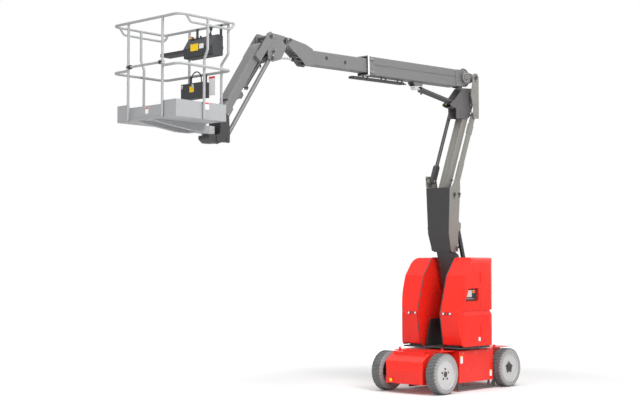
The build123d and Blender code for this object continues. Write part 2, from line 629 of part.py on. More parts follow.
# ============================================================== mid upright
def leaning_plate(outline, y_ref, side, thickness):
    """A plate of the mid upright: it leans outwards as it rises from UPRIGHT_Z0."""
    lean = radians(UPRIGHT_LEAN)
    plane = Plane(origin=(0, side * y_ref, UPRIGHT_Z0), x_dir=(1, 0, 0),
                  z_dir=(0, -cos(lean), side * sin(lean)))
    with BuildSketch(plane) as sketch:
        with BuildLine():
            FilletPolyline(*[(x, z - UPRIGHT_Z0) for x, z in outline], radius=20, close=True)
        make_face()
    extrude(sketch.sketch, amount=side * thickness)


with BuildPart() as mid_upright:
    leaning_plate(UPRIGHT_NEAR, UPRIGHT_Y, 1, UPRIGHT_T)
    leaning_plate(UPRIGHT_FAR, UPRIGHT_Y, -1, UPRIGHT_T)
    # web behind the cover, and a low one between the pins
    with BuildSketch(Plane.YZ.offset(182)) as upright_web:
        with BuildLine():
            Polyline((-177, 2340), (177, 2340), (203, 2900), (-203, 2900), close=True)
        make_face()
    extrude(upright_web.sketch, amount=12)
    for low, high in mirrored(EAR_Y0, EAR_Y1):
        plate(((U2[0] - 46, U2[1] - 40), (U2[0] - 46, U2[1] + 44), (60, 2640), (190, 2640), (190, 2330), (0, 2330)),
              low, high, corner=26)
    disc(U1, PIN_D, -UPRIGHT_Y, UPRIGHT_Y)
    for low, high in mirrored(UPRIGHT_BOSS_Y, UPRIGHT_Y - 6):
        disc(U1, PIN_D + 40, low, high)
    for low, high in mirrored(LINK_Y0 - 2, EAR_Y0 + 1):
        disc(U2, SMALL_PIN_D, low, high)
    disc(C1, SMALL_PIN_D, -EAR_Y0 - 1, EAR_Y0 + 1)
    disc(M1, PIN_D, -UPRIGHT_Y - 34, UPRIGHT_Y + 34)
    for low, high in mirrored(UPPER_W / 2 + SIDE, UPRIGHT_Y + 24):
        disc(M1, PIN_D + 20, low, SIDE_Y0 - 8) if low > 0 else disc(M1, PIN_D + 20, -SIDE_Y0 + 8, high)
    for low, high in mirrored(SIDE_Y0 - 3, UPRIGHT_Y + 34):
        disc(M3, SMALL_PIN_D, low, high)
    for low, high in mirrored(SIDE_Y1 + SIDE, UPRIGHT_Y + 26):
        disc(M3, SMALL_PIN_D + 30, low, high)
    disc(M2, SMALL_PIN_D, -UPRIGHT_Y - 44, FRONT_LINK_Y + FRONT_LINK_D / 2 + 3)
    disc(M2, SMALL_PIN_D + 26, -UPRIGHT_Y - 34, FRONT_LINK_Y - FRONT_LINK_D / 2 - SIDE)
save(mid_upright, "mid_upright")

with BuildPart() as upright_cover:
    plate(COVER_PROFILE, -260, 260)
    with BuildSketch(Plane.YZ.offset(-50)) as cover_front:
        with BuildLine():
            Polyline(*[(-y, z) for y, z in COVER_EDGE], *reversed(COVER_EDGE), close=True)
        make_face()
    extrude(cover_front.sketch, amount=500, mode=Mode.INTERSECT)
    # rib that bears on the upright's web
    block(194, 221, -20, 20, 2480, 2820)
save(upright_cover, "upright_cover")

# ============================================================== upper stage
STAGE_L = hypot(*STAGE)
HALF = UPPER_DEPTH / 2
with BuildPart() as upper_arm:
    for low, high in mirrored(UPPER_W / 2 - ARM_T, UPPER_W / 2):
        bar(M1, T1, UPPER_DEPTH, low, high)
    inside = UPPER_W / 2 - ARM_T
    for s_from, s_to, t_from, t_to in UPPER_WEBS:
        plate(((s_from, t_from), (s_to, t_from), (s_to, t_to), (s_from, t_to)), -inside, inside, M1, T1)
    for pin in (M1, T1):
        disc(pin, PIN_D + 36, -UPPER_W / 2, UPPER_W / 2)
        disc(pin, PIN_D + 2 * RUN, -UPPER_W, UPPER_W, mode=Mode.SUBTRACT)
    for low, high in mirrored(UPPER_W / 2, UPPER_W / 2 + 5):
        disc(on_line(M1, T1, C2_ALONG, C2_BACK), SMALL_PIN_D + 14, low, high)
save(upper_arm, "upper_arm")

with BuildPart() as upper_link:
    rod(M2, T2, FRONT_LINK_Y, FRONT_LINK_D - 4, 200, STAGE_L - 20)
    bar(M2, on_line(M2, T2, 230, 0), 92, FRONT_LINK_Y - FRONT_LINK_D / 2, FRONT_LINK_Y + FRONT_LINK_D / 2)
    disc(T2, SMALL_PIN_D + 34, FRONT_LINK_Y - FRONT_LINK_D / 2, FRONT_LINK_Y + FRONT_LINK_D / 2)
    for pin in (M2, T2):
        disc(pin, SMALL_PIN_D + 2 * RUN, FRONT_LINK_Y - 60, FRONT_LINK_Y + 60, mode=Mode.SUBTRACT)
save(upper_link, "upper_link")

with BuildPart() as side_links:
    for low, high in mirrored(SIDE_Y0, SIDE_Y1):
        bar(M3, T3, SIDE_DEPTH, low, high)
        bar(M3, on_line(M3, T3, 540, 0), SIDE_DEPTH + 18, low, high)
        for s_from, s_to in ((1050, 1210),):
            plate(((s_from, -52), (s_to, -52), (s_to, 52), (s_from, 52)), low - 3, high + 3, M3, T3)
    for pin in (M3, T3):
        disc(pin, SMALL_PIN_D + 2 * RUN, -SIDE_Y1 - 5, SIDE_Y1 + 5, mode=Mode.SUBTRACT)
save(side_links, "side_links")

# ============================================================== top upright
with BuildPart() as top_upright:
    for low, high in mirrored(TOP_Y0, TOP_Y1):
        plate(TOP_PLATE, low, high, corner=24)
    for centre, size in ((TUBE_A, 54), (TUBE_B, 54), (T3, SMALL_PIN_D), (B1, PIN_D)):
        disc(centre, size, -TOP_Y1 - 8, TOP_Y1 + 8)
    for low, high in mirrored(SIDE_Y1 + SIDE, TOP_Y0 + 1):
        disc(T3, SMALL_PIN_D + 26, low, high)
save(top_upright, "top_upright")

with BuildPart() as lift_bracket:
    for low, high in mirrored(FAN_Y0, FAN_Y1):
        plate(FAN, low, high, corner=18)
    plate(((-560, 4352), (-560, 4364), (-70, 4364), (-70, 4352)), -FAN_Y0 - 1, FAN_Y0 + 1)
    for centre in (TUBE_A, TUBE_B):
        disc(centre, 54, -FAN_Y1 - 1, FAN_Y1 + 1, mode=Mode.SUBTRACT)
    for low, high in mirrored(UPPER_W / 2 + SIDE, FAN_Y0 + 1):
        disc(T1, PIN_D + 26, low, high)
    disc(T1, PIN_D, -FAN_Y1 - 4, FAN_Y1 + 4)
    disc(P1, PIN_D, -FAN_Y1, FAN_Y1)
    disc(T2, SMALL_PIN_D, FRONT_LINK_Y - FRONT_LINK_D / 2 - 8, -FAN_Y0)
save(lift_bracket, "lift_bracket")

# ===================================================================== boom
BOOM_DIR = (B1[0] + 1000 * cos(radians(BOOM_PITCH)), B1[1] + 1000 * sin(radians(BOOM_PITCH)))


def tube(a, b, s_from, s_to, width, height, wall, t_mid=0.0, radius=14.0):
    """A box tube along the line from a to b."""
    dx, dz, _ = unit(a, b)
    start = (a[0] + dx * s_from, 0, a[1] + dz * s_from)
    with BuildSketch(Plane(origin=start, x_dir=(0, 1, 0), z_dir=(dx, 0, dz))) as sketch:
        with Locations((0, t_mid)):
            RectangleRounded(width, height, radius)
            RectangleRounded(width - 2 * wall, height - 2 * wall, max(radius - wall, 2), mode=Mode.SUBTRACT)
    extrude(sketch.sketch, amount=s_to - s_from)


with BuildPart() as boom_outer:
    tube(B1, BOOM_DIR, BOOM_S0, BOOM_S1, BOOM_W, BOOM_H, BOOM_WALL, -BOOM_DROP)
    for low, high in mirrored(BOOM_W / 2, BOOM_W / 2 + LUG_T):
        plate(BOOM_LUG, low, high, B1, BOOM_DIR, corner=30)
    for low, high in mirrored(BOOM_W / 2 + LUG_T, TOP_Y0 - SIDE):
        disc(B1, PIN_D + 50, low, high)
    disc(B1, PIN_D + 2 * RUN, -TOP_Y0, TOP_Y0, mode=Mode.SUBTRACT)
    # ears under the tube for the lift cylinder's rod eye
    for low, high in mirrored(EYE_HALF + SIDE, EYE_HALF + SIDE + 14):
        plate(LIFT_EAR, low, high, B1, BOOM_DIR, corner=20)
    # collar at the front end
    tube(B1, BOOM_DIR, BOOM_S1 - 60, BOOM_S1, BOOM_W + 14, BOOM_H + 14, 7, -BOOM_DROP)
save(boom_outer, "boom_outer")

with BuildPart() as hose_drum:
    centre = on_line(B1, BOOM_DIR, DRUM_S, -15)
    disc(centre, DRUM_D, -BOOM_W / 2, BOOM_W / 2)
    disc(centre, DRUM_D + 30, -BOOM_W / 2, -BOOM_W / 2 + 8)
    disc(centre, DRUM_D + 30, BOOM_W / 2 - 8, BOOM_W / 2)
    plate(((DRUM_S + 60, -70), (BOOM_S0, -70), (BOOM_S0, 40), (DRUM_S + 60, 40)), -60, 60, B1, BOOM_DIR)
save(hose_drum, "hose_drum")

PAD_GAP = 0.5
INNER_MID = -BOOM_DROP
with BuildPart() as boom_inner:
    tube(B1, BOOM_DIR, INNER_S0, INNER_S1, INNER_W, INNER_H, INNER_WALL, INNER_MID)
    disc(V1, SMALL_PIN_D, -INNER_W / 2 + 1, INNER_W / 2 - 1)
save(boom_inner, "boom_inner")

with BuildPart() as boom_pads:
    for s_from in (BOOM_S1 - 110, BOOM_S1 - 560):
        for low, high in mirrored(INNER_W / 2 + PAD_GAP, BOOM_W / 2 - BOOM_WALL):
            for t in (INNER_MID - 70, INNER_MID + 20):
                plate(((s_from, t), (s_from + 100, t), (s_from + 100, t + 50), (s_from, t + 50)), low, high, B1, BOOM_DIR)
        for t_from, t_to in ((INNER_MID + INNER_H / 2 + PAD_GAP, INNER_MID + BOOM_H / 2 - BOOM_WALL),
                             (INNER_MID - BOOM_H / 2 + BOOM_WALL, INNER_MID - INNER_H / 2 - PAD_GAP)):
            plate(((s_from, t_from), (s_from + 100, t_from), (s_from + 100, t_to), (s_from, t_to)),
                  -55, 55, B1, BOOM_DIR)
save(boom_pads, "boom_pads")

# =============================================================== gooseneck
with BuildPart() as gooseneck:
    for low, high in mirrored(INNER_W / 2, INNER_W / 2 + NOSE_PLATE_T):
        plate(GOOSENECK, low, high, corner=16)
    disc(N1, PIN_D, -INNER_W / 2 - NOSE_PLATE_T - 6, INNER_W / 2 + NOSE_PLATE_T + 6)
save(gooseneck, "gooseneck")

with BuildPart() as nose_ears:
    for low, high in mirrored(NOSE_EAR_Y0, NOSE_EAR_Y0 + NOSE_PLATE_T):
        plate(NOSE_EAR, low, high, corner=14)
    plate(((WEB_X0, 4650), (WEB_X0 + 12, 4650), (WEB_X0 + 12, 4900), (WEB_X0, 4900)), -NOSE_Y0, NOSE_Y0)
    disc(N1, PIN_D + 2 * RUN, -100, 100, mode=Mode.SUBTRACT)
    disc(V2, SMALL_PIN_D + 2, -100, 100, mode=Mode.SUBTRACT)
save(nose_ears, "nose_ears")

with BuildPart() as nose_bracket:
    for low, high in mirrored(NOSE_Y0, NOSE_Y0 + NOSE_PLATE_T):
        plate(NOSE_PLATE, low, high, corner=18)
    reach = NOSE_Y0 + NOSE_PLATE_T
    disc(J1, PIN_D, -reach - 20, reach + 20)
    disc(J2, SMALL_PIN_D, JIB_LINK_Y - JIB_LINK_D / 2 - 2, reach + 6)
    disc(Q1, SMALL_PIN_D, -reach - 4, reach + 4)
save(nose_bracket, "nose_bracket")

# ====================================================================== jib
JIB_L = hypot(*JIB)
with BuildPart() as jib_arm:
    tube(J1, K1, JIB_S0, JIB_S1, JIB_W, JIB_H, JIB_WALL, JIB_T_MID, radius=10)
    # the box's cheeks run on to the low pin
    for low, high in mirrored(JIB_W / 2 - NOSE_PLATE_T, JIB_W / 2):
        plate(JIB_END, low, high, J1, K1, corner=24)
        disc(K1, PIN_D + 50, low, high)
    disc(K1, PIN_D + 2 * RUN, -JIB_W, JIB_W, mode=Mode.SUBTRACT)
    # lugs outside the nose's plates, spaced off the box
    for low, high in mirrored(JIB_LUG_Y0, JIB_LUG_Y0 + NOSE_PLATE_T):
        plate(JIB_LUG, low, high, J1, K1, corner=24)
        disc(J1, PIN_D + 2 * RUN, low - 1, high + 1, mode=Mode.SUBTRACT)
    for low, high in mirrored(JIB_W / 2 - 1, JIB_LUG_Y0):
        plate(((290, -48), (400, -48), (400, 58), (290, 58)), low, high, J1, K1)
    # ears for the cylinder's rod eye
    for low, high in mirrored(JIB_EYE_HALF + SIDE, JIB_EYE_HALF + SIDE + 10):
        plate(JIB_EAR, JIB_CYL_Y + low, JIB_CYL_Y + high, J1, K1, corner=16)
    # sheet cover along the top
    plate(((JIB_S0 + 20, JIB_TOP - 1), (1148, JIB_TOP - 1), (1148, JIB_TOP + 20), (JIB_S0 + 60, JIB_TOP + 20)),
          -JIB_W / 2 - 3, JIB_W / 2 + 3, J1, K1)
save(jib_arm, "jib_arm")

with BuildPart() as jib_link:
    rod(J2, K2, JIB_LINK_Y, JIB_LINK_D, 20, JIB_L - 20)
    for pin in (J2, K2):
        disc(pin, SMALL_PIN_D + 32, JIB_LINK_Y - JIB_LINK_D / 2, JIB_LINK_Y + JIB_LINK_D / 2)
    for pin in (J2, K2):
        disc(pin, SMALL_PIN_D + 2 * RUN, JIB_LINK_Y - 60, JIB_LINK_Y + 60, mode=Mode.SUBTRACT)
save(jib_link, "jib_link")

# ================================================================ cylinders
CYLINDERS = (
    # name, base pin, rod eye, y, barrel Ø, rod Ø, barrel length, base pin Ø, eye Ø, half-width, reach to the ears
    ("tower", C1, on_line(M1, T1, C2_ALONG, C2_BACK), 0.0, TOWER_BORE_D, 46.0, 690.0, SMALL_PIN_D, 78.0, 34.0,
     UPPER_W / 2 - ARM_T),
    ("lift", P1, P2, 0.0, LIFT_BORE_D, 50.0, 880.0, PIN_D, 92.0, EYE_HALF, EYE_HALF + SIDE),
    ("level", V1, V2, 0.0, LEVEL_BORE_D, 30.0, 372.0, SMALL_PIN_D, 62.0, 26.0, NOSE_EAR_Y0),
    ("jib", Q1, Q2, JIB_CYL_Y, JIB_BORE_D, 30.0, 640.0, SMALL_PIN_D, 62.0, JIB_EYE_HALF,
     JIB_EYE_HALF + SIDE),
)
for name, base, eye, y, bore_d, rod_d, barrel_l, pin_d, eye_d, half, reach in CYLINDERS:
    length = unit(base, eye)[2]
    with BuildPart() as barrel:
        rod(base, eye, y, bore_d, eye_d / 2 - 6, barrel_l)
        rod(base, eye, y, bore_d + 10, barrel_l - 40, barrel_l)
        rod(base, eye, y, rod_d + 2 * RUN, eye_d / 2 + 14, barrel_l + 1, mode=Mode.SUBTRACT)
        disc(base, eye_d, y - half, y + half)
        disc(base, pin_d + 2 * RUN, y - bore_d, y + bore_d, mode=Mode.SUBTRACT)
    save(barrel, f"{name}_barrel")
    with BuildPart() as piston_rod:
        rod(base, eye, y, rod_d, length - barrel_l + eye_d / 2 + 60 - 40, length - 10)
        disc(eye, eye_d - 8, y - half, y + half)
        disc(eye, 32, y - reach + RUN, y + reach - RUN)
    save(piston_rod, f"{name}_rod")

# ================================================================= platform
with BuildPart() as platform_support:
    for low, high in mirrored(NOSE_Y0, NOSE_Y0 + NOSE_PLATE_T):
        plate(SUPPORT, low, high, corner=18)
    plate(((K1[0] + 72, K1[1] + 30), (K1[0] + 72, K1[1] - 220), (K1[0] + 84, K1[1] - 220), (K1[0] + 84, K1[1] + 30)),
          -NOSE_Y0 - 1, NOSE_Y0 + 1)
    reach = NOSE_Y0 + NOSE_PLATE_T + 6
    disc(K1, PIN_D, -reach, reach)
    for low, high in mirrored(JIB_W / 2 + SIDE, NOSE_Y0 + 1):
        disc(K1, PIN_D + 24, low, high)
    disc(K2, SMALL_PIN_D, -reach, reach)
    disc(K2, SMALL_PIN_D + 24, -NOSE_Y0 - 1, JIB_LINK_Y - JIB_LINK_D / 2 - SIDE)
save(platform_support, "platform_support")

with BuildPart() as rotator_base:
    plate(ROTATOR_BLOCK, -NOSE_Y0, NOSE_Y0, corner=12)
    with Locations((ROTATOR_X, 0, 3518)):
        Cylinder(76, 12, align=(Align.CENTER, Align.CENTER, Align.MIN))
save(rotator_base, "rotator_base")

with BuildPart() as platform_beams:
    with Locations((ROTATOR_X, 0, ROTATOR_Z)):
        Cylinder(84, BEAM_TOP - ROTATOR_Z, align=(Align.CENTER, Align.CENTER, Align.MIN))
    for low, high in mirrored(110, 170):
        plate(((FLOOR_X0 - 20, BEAM_TOP), (FLOOR_X1 - 40, BEAM_TOP), (FLOOR_X1 - 40, BEAM_TOP - 26),
               (FLOOR_X0 + 200, ROTATOR_Z + 10), (FLOOR_X0 - 20, ROTATOR_Z + 10)), low, high)
    plate(((ROTATOR_X + 40, BEAM_TOP), (FLOOR_X0 + 60, BEAM_TOP), (FLOOR_X0 + 60, ROTATOR_Z + 10), (ROTATOR_X + 40, ROTATOR_Z + 10)),
          -56, 56)
    block(FLOOR_X0 - 20, FLOOR_X0 + 60, -170, 170, ROTATOR_Z + 10, BEAM_TOP)
save(platform_beams, "platform_beams")

with BuildPart() as platform_floor:
    block(FLOOR_X0, FLOOR_X1, -FLOOR_HALF_W, FLOOR_HALF_W, FLOOR_Z, FLOOR_Z + FLOOR_T)
    for x_from, x_to, y_from, y_to, height in TOE_BOARDS:
        block(x_from, x_to, y_from, y_to, FLOOR_Z + FLOOR_T - 1, FLOOR_Z + height)
save(platform_floor, "platform_floor")


def rail(points, bend=CORNER_R, closed=False, diameter=TUBE_D):
    """A bent tube through the given corners."""
    with BuildLine() as path:
        if len(points) > 2:
            FilletPolyline(*points, radius=bend, close=closed)
        else:
            Polyline(*points)
    start = Plane(origin=path.line @ 0, z_dir=path.line % 0)
    with BuildSketch(start) as section:
        Circle(diameter / 2)
    sweep(section.sketch, path=path.line)


with BuildPart() as platform_rails:
    rail(((RAIL_X1, -RAIL_Y, RAIL_Z), (RAIL_X0, -RAIL_Y, RAIL_Z), (RAIL_X0, RAIL_Y, RAIL_Z), (RAIL_X1, RAIL_Y, RAIL_Z)),
         closed=True)
    rail(((RAIL_X1, -FRONT_POST_Y, MID_RAIL_Z), (RAIL_X1, -RAIL_Y, MID_RAIL_Z), (RAIL_X0, -RAIL_Y, MID_RAIL_Z),
          (RAIL_X0, RAIL_Y, MID_RAIL_Z), (RAIL_X1, RAIL_Y, MID_RAIL_Z), (RAIL_X1, FRONT_POST_Y, MID_RAIL_Z)))
    for x, y_rail, y_floor in POSTS:
        if y_rail == y_floor:
            rail(((x, y_rail, FLOOR_Z + 10), (x, y_rail, RAIL_Z)), bend=0, diameter=POST_D)
        else:
            rail(((x, y_floor, FLOOR_Z + 10), (x, y_floor, KINK_Z - 120), (x, y_rail, KINK_Z), (x, y_rail, RAIL_Z)),
                 bend=40, diameter=POST_D)
save(platform_rails, "platform_rails")

with BuildPart() as gate_bar:
    rail(((GATE_X, -FRONT_POST_Y, GATE_Z), (GATE_X, FRONT_POST_Y, GATE_Z)), bend=0, diameter=30)
    for side in (-1, 1):
        with Locations((GATE_X, side * FRONT_POST_Y, GATE_Z)):
            Cylinder(24, 46)
    for side in (-1, 1):
        with Locations((GATE_X, side * FRONT_POST_Y, GATE_Z)):
            Cylinder(POST_D / 2 + RUN, 60, mode=Mode.SUBTRACT)
save(gate_bar, "gate_bar")

with BuildPart() as console:
    plate(CONSOLE, -40, 490, corner=16)
    block(RAIL_X0 + TUBE_D / 2, RAIL_X0 + 180, -500, -60, 4520, 4560)
    # hanging plates from the top rail
    block(RAIL_X0 + TUBE_D / 2, RAIL_X0 + TUBE_D / 2 + 6, -500, 490, 4520, 4560)
    for y in (0, 430):
        block(RAIL_X0 + TUBE_D / 2, RAIL_X0 + TUBE_D / 2 + 6, y, y + 40, 4530, RAIL_Z)
save(console, "console")

with BuildPart() as tool_box:
    block(RAIL_X0 + TUBE_D / 2, RAIL_X0 + 130, -160, 240, 3950, 4140)
    for y in (-120, 160):
        block(RAIL_X0 + TUBE_D / 2, RAIL_X0 + TUBE_D / 2 + 5, y, y + 40, 4130, MID_RAIL_Z)
save(tool_box, "tool_box")
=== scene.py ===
import json
import math

import bmesh
import bpy
from bpy.props import FloatProperty, FloatVectorProperty, IntProperty, PointerProperty
from bpy.types import Operator, Panel, PropertyGroup
from mathutils import Matrix, Vector


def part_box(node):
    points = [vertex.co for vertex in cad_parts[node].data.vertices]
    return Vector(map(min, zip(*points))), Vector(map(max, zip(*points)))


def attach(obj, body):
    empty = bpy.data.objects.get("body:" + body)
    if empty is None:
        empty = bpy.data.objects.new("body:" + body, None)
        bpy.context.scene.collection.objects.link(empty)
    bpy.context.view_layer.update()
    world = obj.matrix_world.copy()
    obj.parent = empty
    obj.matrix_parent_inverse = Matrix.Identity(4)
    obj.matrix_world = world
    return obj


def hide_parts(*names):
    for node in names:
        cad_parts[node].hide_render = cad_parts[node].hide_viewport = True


bl_info = {
    "name": "Articulating Boom Lift",
    "version": (1, 0, 0),
    "blender": (4, 5, 0),
    "location": "View3D > Sidebar > Boom Lift",
    "description": "Paint, tyres, controls, hoses and fastenings for a boom lift's frame",
    "category": "Object",
}

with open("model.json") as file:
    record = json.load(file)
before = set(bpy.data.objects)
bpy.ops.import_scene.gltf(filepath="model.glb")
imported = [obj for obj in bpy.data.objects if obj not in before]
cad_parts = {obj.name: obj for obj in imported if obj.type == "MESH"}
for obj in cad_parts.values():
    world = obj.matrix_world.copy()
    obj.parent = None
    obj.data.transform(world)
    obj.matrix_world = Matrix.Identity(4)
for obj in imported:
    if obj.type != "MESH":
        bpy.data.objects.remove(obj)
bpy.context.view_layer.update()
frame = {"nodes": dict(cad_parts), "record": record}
PINS = {joint["name"]: Vector(joint["pos_m"]) for joint in frame["record"]["behaviour"]["joints"] if "pos_m" in joint}
ALONG, ACROSS, UP = (1, 0, 0), (0, 1, 0), (0, 0, 1)
SIDES = (-1, 1)
OVERLAP = 0.001      # how far a fitted piece sinks into what carries it
WHITE = (1, 1, 1, 1)


# ------------------------------------------------------------------ settings
def paint(label, text, colour):
    return FloatVectorProperty(name=label, description=text, default=colour, size=3, min=0.0, max=1.0, subtype="COLOR")


def power(label, text, watts):
    return FloatProperty(name=label, description=text, default=watts, min=0.0, unit="POWER")


class LiftFinish(PropertyGroup):
    """Colours of the machine's paints and plastics."""
    body_red: paint("Body red", "Hoods, nose and side panels", (0.92, 0.026, 0.015))
    boom_grey: paint("Boom grey", "Boom, jib and their links", (0.175, 0.175, 0.177))
    # painted light: the riser's lighter, warmer copy of the boom grey stands for the lit near sides of its arms and
    # uprights
    riser_lit_grey: paint("Riser grey", "Warm grey of the riser's arms", (0.25, 0.24, 0.22))
    frame_dark: paint("Frame dark", "Turntable, covers and axles", (0.040, 0.038, 0.040))
    basket_silver: paint("Basket silver", "Platform rails, floor and toe boards", (0.37, 0.375, 0.385))
    wheel_grey: paint("Wheel grey", "Wheel discs", (0.62, 0.62, 0.62))
    tread: paint("Tread", "Tread rubber", (0.15, 0.15, 0.153))
    sidewall: paint("Sidewall", "Sidewall rubber", (0.40, 0.40, 0.40))
    plastic: paint("Plastic", "Control boxes and trays", (0.030, 0.031, 0.034))


class LiftSizes(PropertyGroup):
    """Sizes of the tyres' tread."""
    lugs: IntProperty(name="Tread lugs", description="Lugs round each side of a tyre", default=34, min=12, max=60)
    tread_depth: FloatProperty(name="Tread depth", description="Depth of the tread's grooves", default=0.009,
                               min=0.0, subtype="DISTANCE", unit="LENGTH")


class LiftStage(PropertyGroup):
    """Floor and lamps."""
    floor: paint("Floor", "Colour of the floor", (0.94, 0.94, 0.94))
    key: power("Key light", "Power of the large lamp on the near side", 880.0)
    top: power("Top light", "Power of the wide lamp overhead", 1150.0)
    fill: power("Fill light", "Power of the lamp ahead of the machine", 240.0)


# -------------------------------------------------------------- node groups
class Shading:
    """Short calls that add nodes to one tree."""

    def __init__(self, tree):
        self.tree = tree

    def join(self, value, socket):
        """Links a socket to another, or gives it a plain value."""
        if isinstance(value, bpy.types.NodeSocket):
            self.tree.links.new(value, socket)
        else:
            socket.default_value = value

    def add(self, kind, inputs=None, **settings):
        """A node with its settings, and its inputs by name or number."""
        node = self.tree.nodes.new("ShaderNode" + kind)
        for key, value in settings.items():
            setattr(node, key, value)
        for key, value in (inputs or {}).items():
            self.join(value, node.inputs[key])
        return node

    def maths(self, operation, first, second, clamp):
        return self.add("Math", {0: first, 1: second}, operation=operation, use_clamp=clamp).outputs[0]

    def plus(self, first, second, clamp=False):
        return self.maths("ADD", first, second, clamp)

    def less(self, first, second, clamp=False):
        return self.maths("SUBTRACT", first, second, clamp)

    def times(self, first, second, clamp=False):
        return self.maths("MULTIPLY", first, second, clamp)

    def most(self, first, second):
        return self.maths("MAXIMUM", first, second, False)

    def mix(self, factor, first, second):
        return self.add("Mix", {"Factor": factor, 6: first, 7: second}, data_type="RGBA").outputs[2]

    def tinted(self, value, colour):
        return self.add("HueSaturation", {"Value": value, "Color": colour}).outputs[0]

    def place(self):
        return self.add("TexCoord").outputs["Object"]

    def upward(self, vector):
        return self.add("SeparateXYZ", {0: vector}).outputs["Z"]

    def noise(self, scale, detail=3.0, rough=0.5, vector=None):
        where = self.place() if vector is None else vector
        made = self.add("TexNoise", {"Scale": scale, "Detail": detail, "Roughness": rough, "Vector": where})
        return made.outputs["Fac"]

    def effect(self, group, inputs):
        return self.add("Group", inputs, node_tree=bpy.data.node_groups[group]).outputs


def new_group(name, inputs, outputs=("Colour", "Roughness", "Height")):
    """An empty node group: its calls, what comes in and what goes out."""
    tree = bpy.data.node_groups.new(name, "ShaderNodeTree")
    for label, default in inputs.items():
        kind = "NodeSocketColor" if isinstance(default, tuple) else "NodeSocketFloat"
        tree.interface.new_socket(label, in_out="INPUT", socket_type=kind).default_value = default
    for label in outputs:
        kind = "NodeSocketColor" if label == "Colour" else "NodeSocketFloat"
        tree.interface.new_socket(label, in_out="OUTPUT", socket_type=kind)
    return Shading(tree), tree.nodes.new("NodeGroupInput").outputs, tree.nodes.new("NodeGroupOutput").inputs


def edge_wear_group():
    """Rubbed edges: where the bevelled normal leaves the true one, broken up by grain."""
    s, came, goes = new_group("edge_wear", {"Width": 0.004, "Amount": 0.5}, ("Mask",))
    soft = s.add("Bevel", {"Radius": came["Width"]}, samples=4).outputs[0]
    true = s.add("NewGeometry").outputs["Normal"]
    dot = s.add("VectorMath", {0: soft, 1: true}, operation="DOT_PRODUCT").outputs["Value"]
    turned = s.times(s.less(1.0, dot, True), 7.0, True)
    broken = s.less(s.times(s.noise(38.0, 5.0, 0.65), 2.4), 0.7, True)
    s.join(s.times(s.times(turned, broken), came["Amount"], True), goes["Mask"])


def dust_group():
    """Fine dust that lies on what faces up and clings low down."""
    s, came, goes = new_group("settled_dust", {"Amount": 0.3}, ("Mask",))
    facing = s.upward(s.add("NewGeometry").outputs["Normal"])
    lying = s.times(s.less(facing, 0.55, True), 1.6, True)
    near_ground = s.times(s.less(0.45, s.upward(s.place()), True), 1.1, True)
    cloudy = s.times(s.noise(5.0, 6.0, 0.62), s.noise(60.0, 2.0), True)
    held = s.times(s.most(lying, near_ground), s.times(cloudy, 3.0))
    s.join(s.times(held, came["Amount"], True), goes["Mask"])


def coat_group():
    """A sprayed coat: colour, roughness and height, with cloudiness, orange peel, worn edges and dust."""
    s, came, goes = new_group("sprayed_coat", {
        "Colour": (0.5, 0.5, 0.5, 1), "Worn Colour": (0.3, 0.3, 0.3, 1), "Roughness": 0.35, "Cloudiness": 0.08,
        "Peel Scale": 260.0, "Edge Width": 0.004, "Edge Amount": 0.4, "Dust Amount": 0.25})
    wear = s.effect("edge_wear", {"Width": came["Edge Width"], "Amount": came["Edge Amount"]})["Mask"]
    dust = s.effect("settled_dust", {"Amount": came["Dust Amount"]})["Mask"]
    shade = s.plus(s.times(s.less(s.noise(2.3, 4.0, 0.55), 0.5), came["Cloudiness"]), 1.0)
    worn = s.mix(wear, s.tinted(shade, came["Colour"]), came["Worn Colour"])
    rough = s.plus(came["Roughness"], s.times(s.less(s.noise(9.0, 4.0), 0.5), 0.16))
    s.join(s.mix(dust, worn, (0.42, 0.38, 0.33, 1)), goes["Colour"])
    s.join(s.plus(rough, s.times(s.most(wear, dust), 0.35), True), goes["Roughness"])
    s.join(s.less(s.noise(came["Peel Scale"], 2.0), s.times(wear, 0.8)), goes["Height"])


def rubber_group():
    """Rubber: scuffed and dusty, with mould grain."""
    s, came, goes = new_group("scuffed_rubber", {
        "Colour": (0.1, 0.1, 0.1, 1), "Scuff Colour": (0.3, 0.3, 0.3, 1), "Scuffing": 0.4})
    blotch = s.noise(14.0, 6.0, 0.65)
    scuff = s.times(s.times(s.less(blotch, 0.42, True), 4.0, True), came["Scuffing"], True)
    wear = s.effect("edge_wear", {"Width": 0.006, "Amount": 0.5})["Mask"]
    s.join(s.mix(s.most(scuff, wear), came["Colour"], came["Scuff Colour"]), goes["Colour"])
    s.join(s.plus(s.times(blotch, 0.25), 0.62), goes["Roughness"])
    s.join(s.plus(s.noise(420.0), s.times(blotch, 0.6)), goes["Height"])


def moulded_group():
    """Moulded plastic: spark-eroded grain, faint flow marks and rubbed corners."""
    s, came, goes = new_group("moulded_grain", {
        "Colour": (0.03, 0.03, 0.03, 1), "Grain Scale": 700.0, "Roughness": 0.5})
    wear = s.effect("edge_wear", {"Width": 0.003, "Amount": 0.6})["Mask"]
    flow = s.times(s.noise(6.0, 5.0, 0.6), 0.25)
    s.join(s.mix(s.most(wear, flow), came["Colour"], s.tinted(2.2, came["Colour"])), goes["Colour"])
    grain = s.noise(came["Grain Scale"], 2.0)
    s.join(s.plus(came["Roughness"], s.times(grain, 0.14), True), goes["Roughness"])
    s.join(grain, goes["Height"])


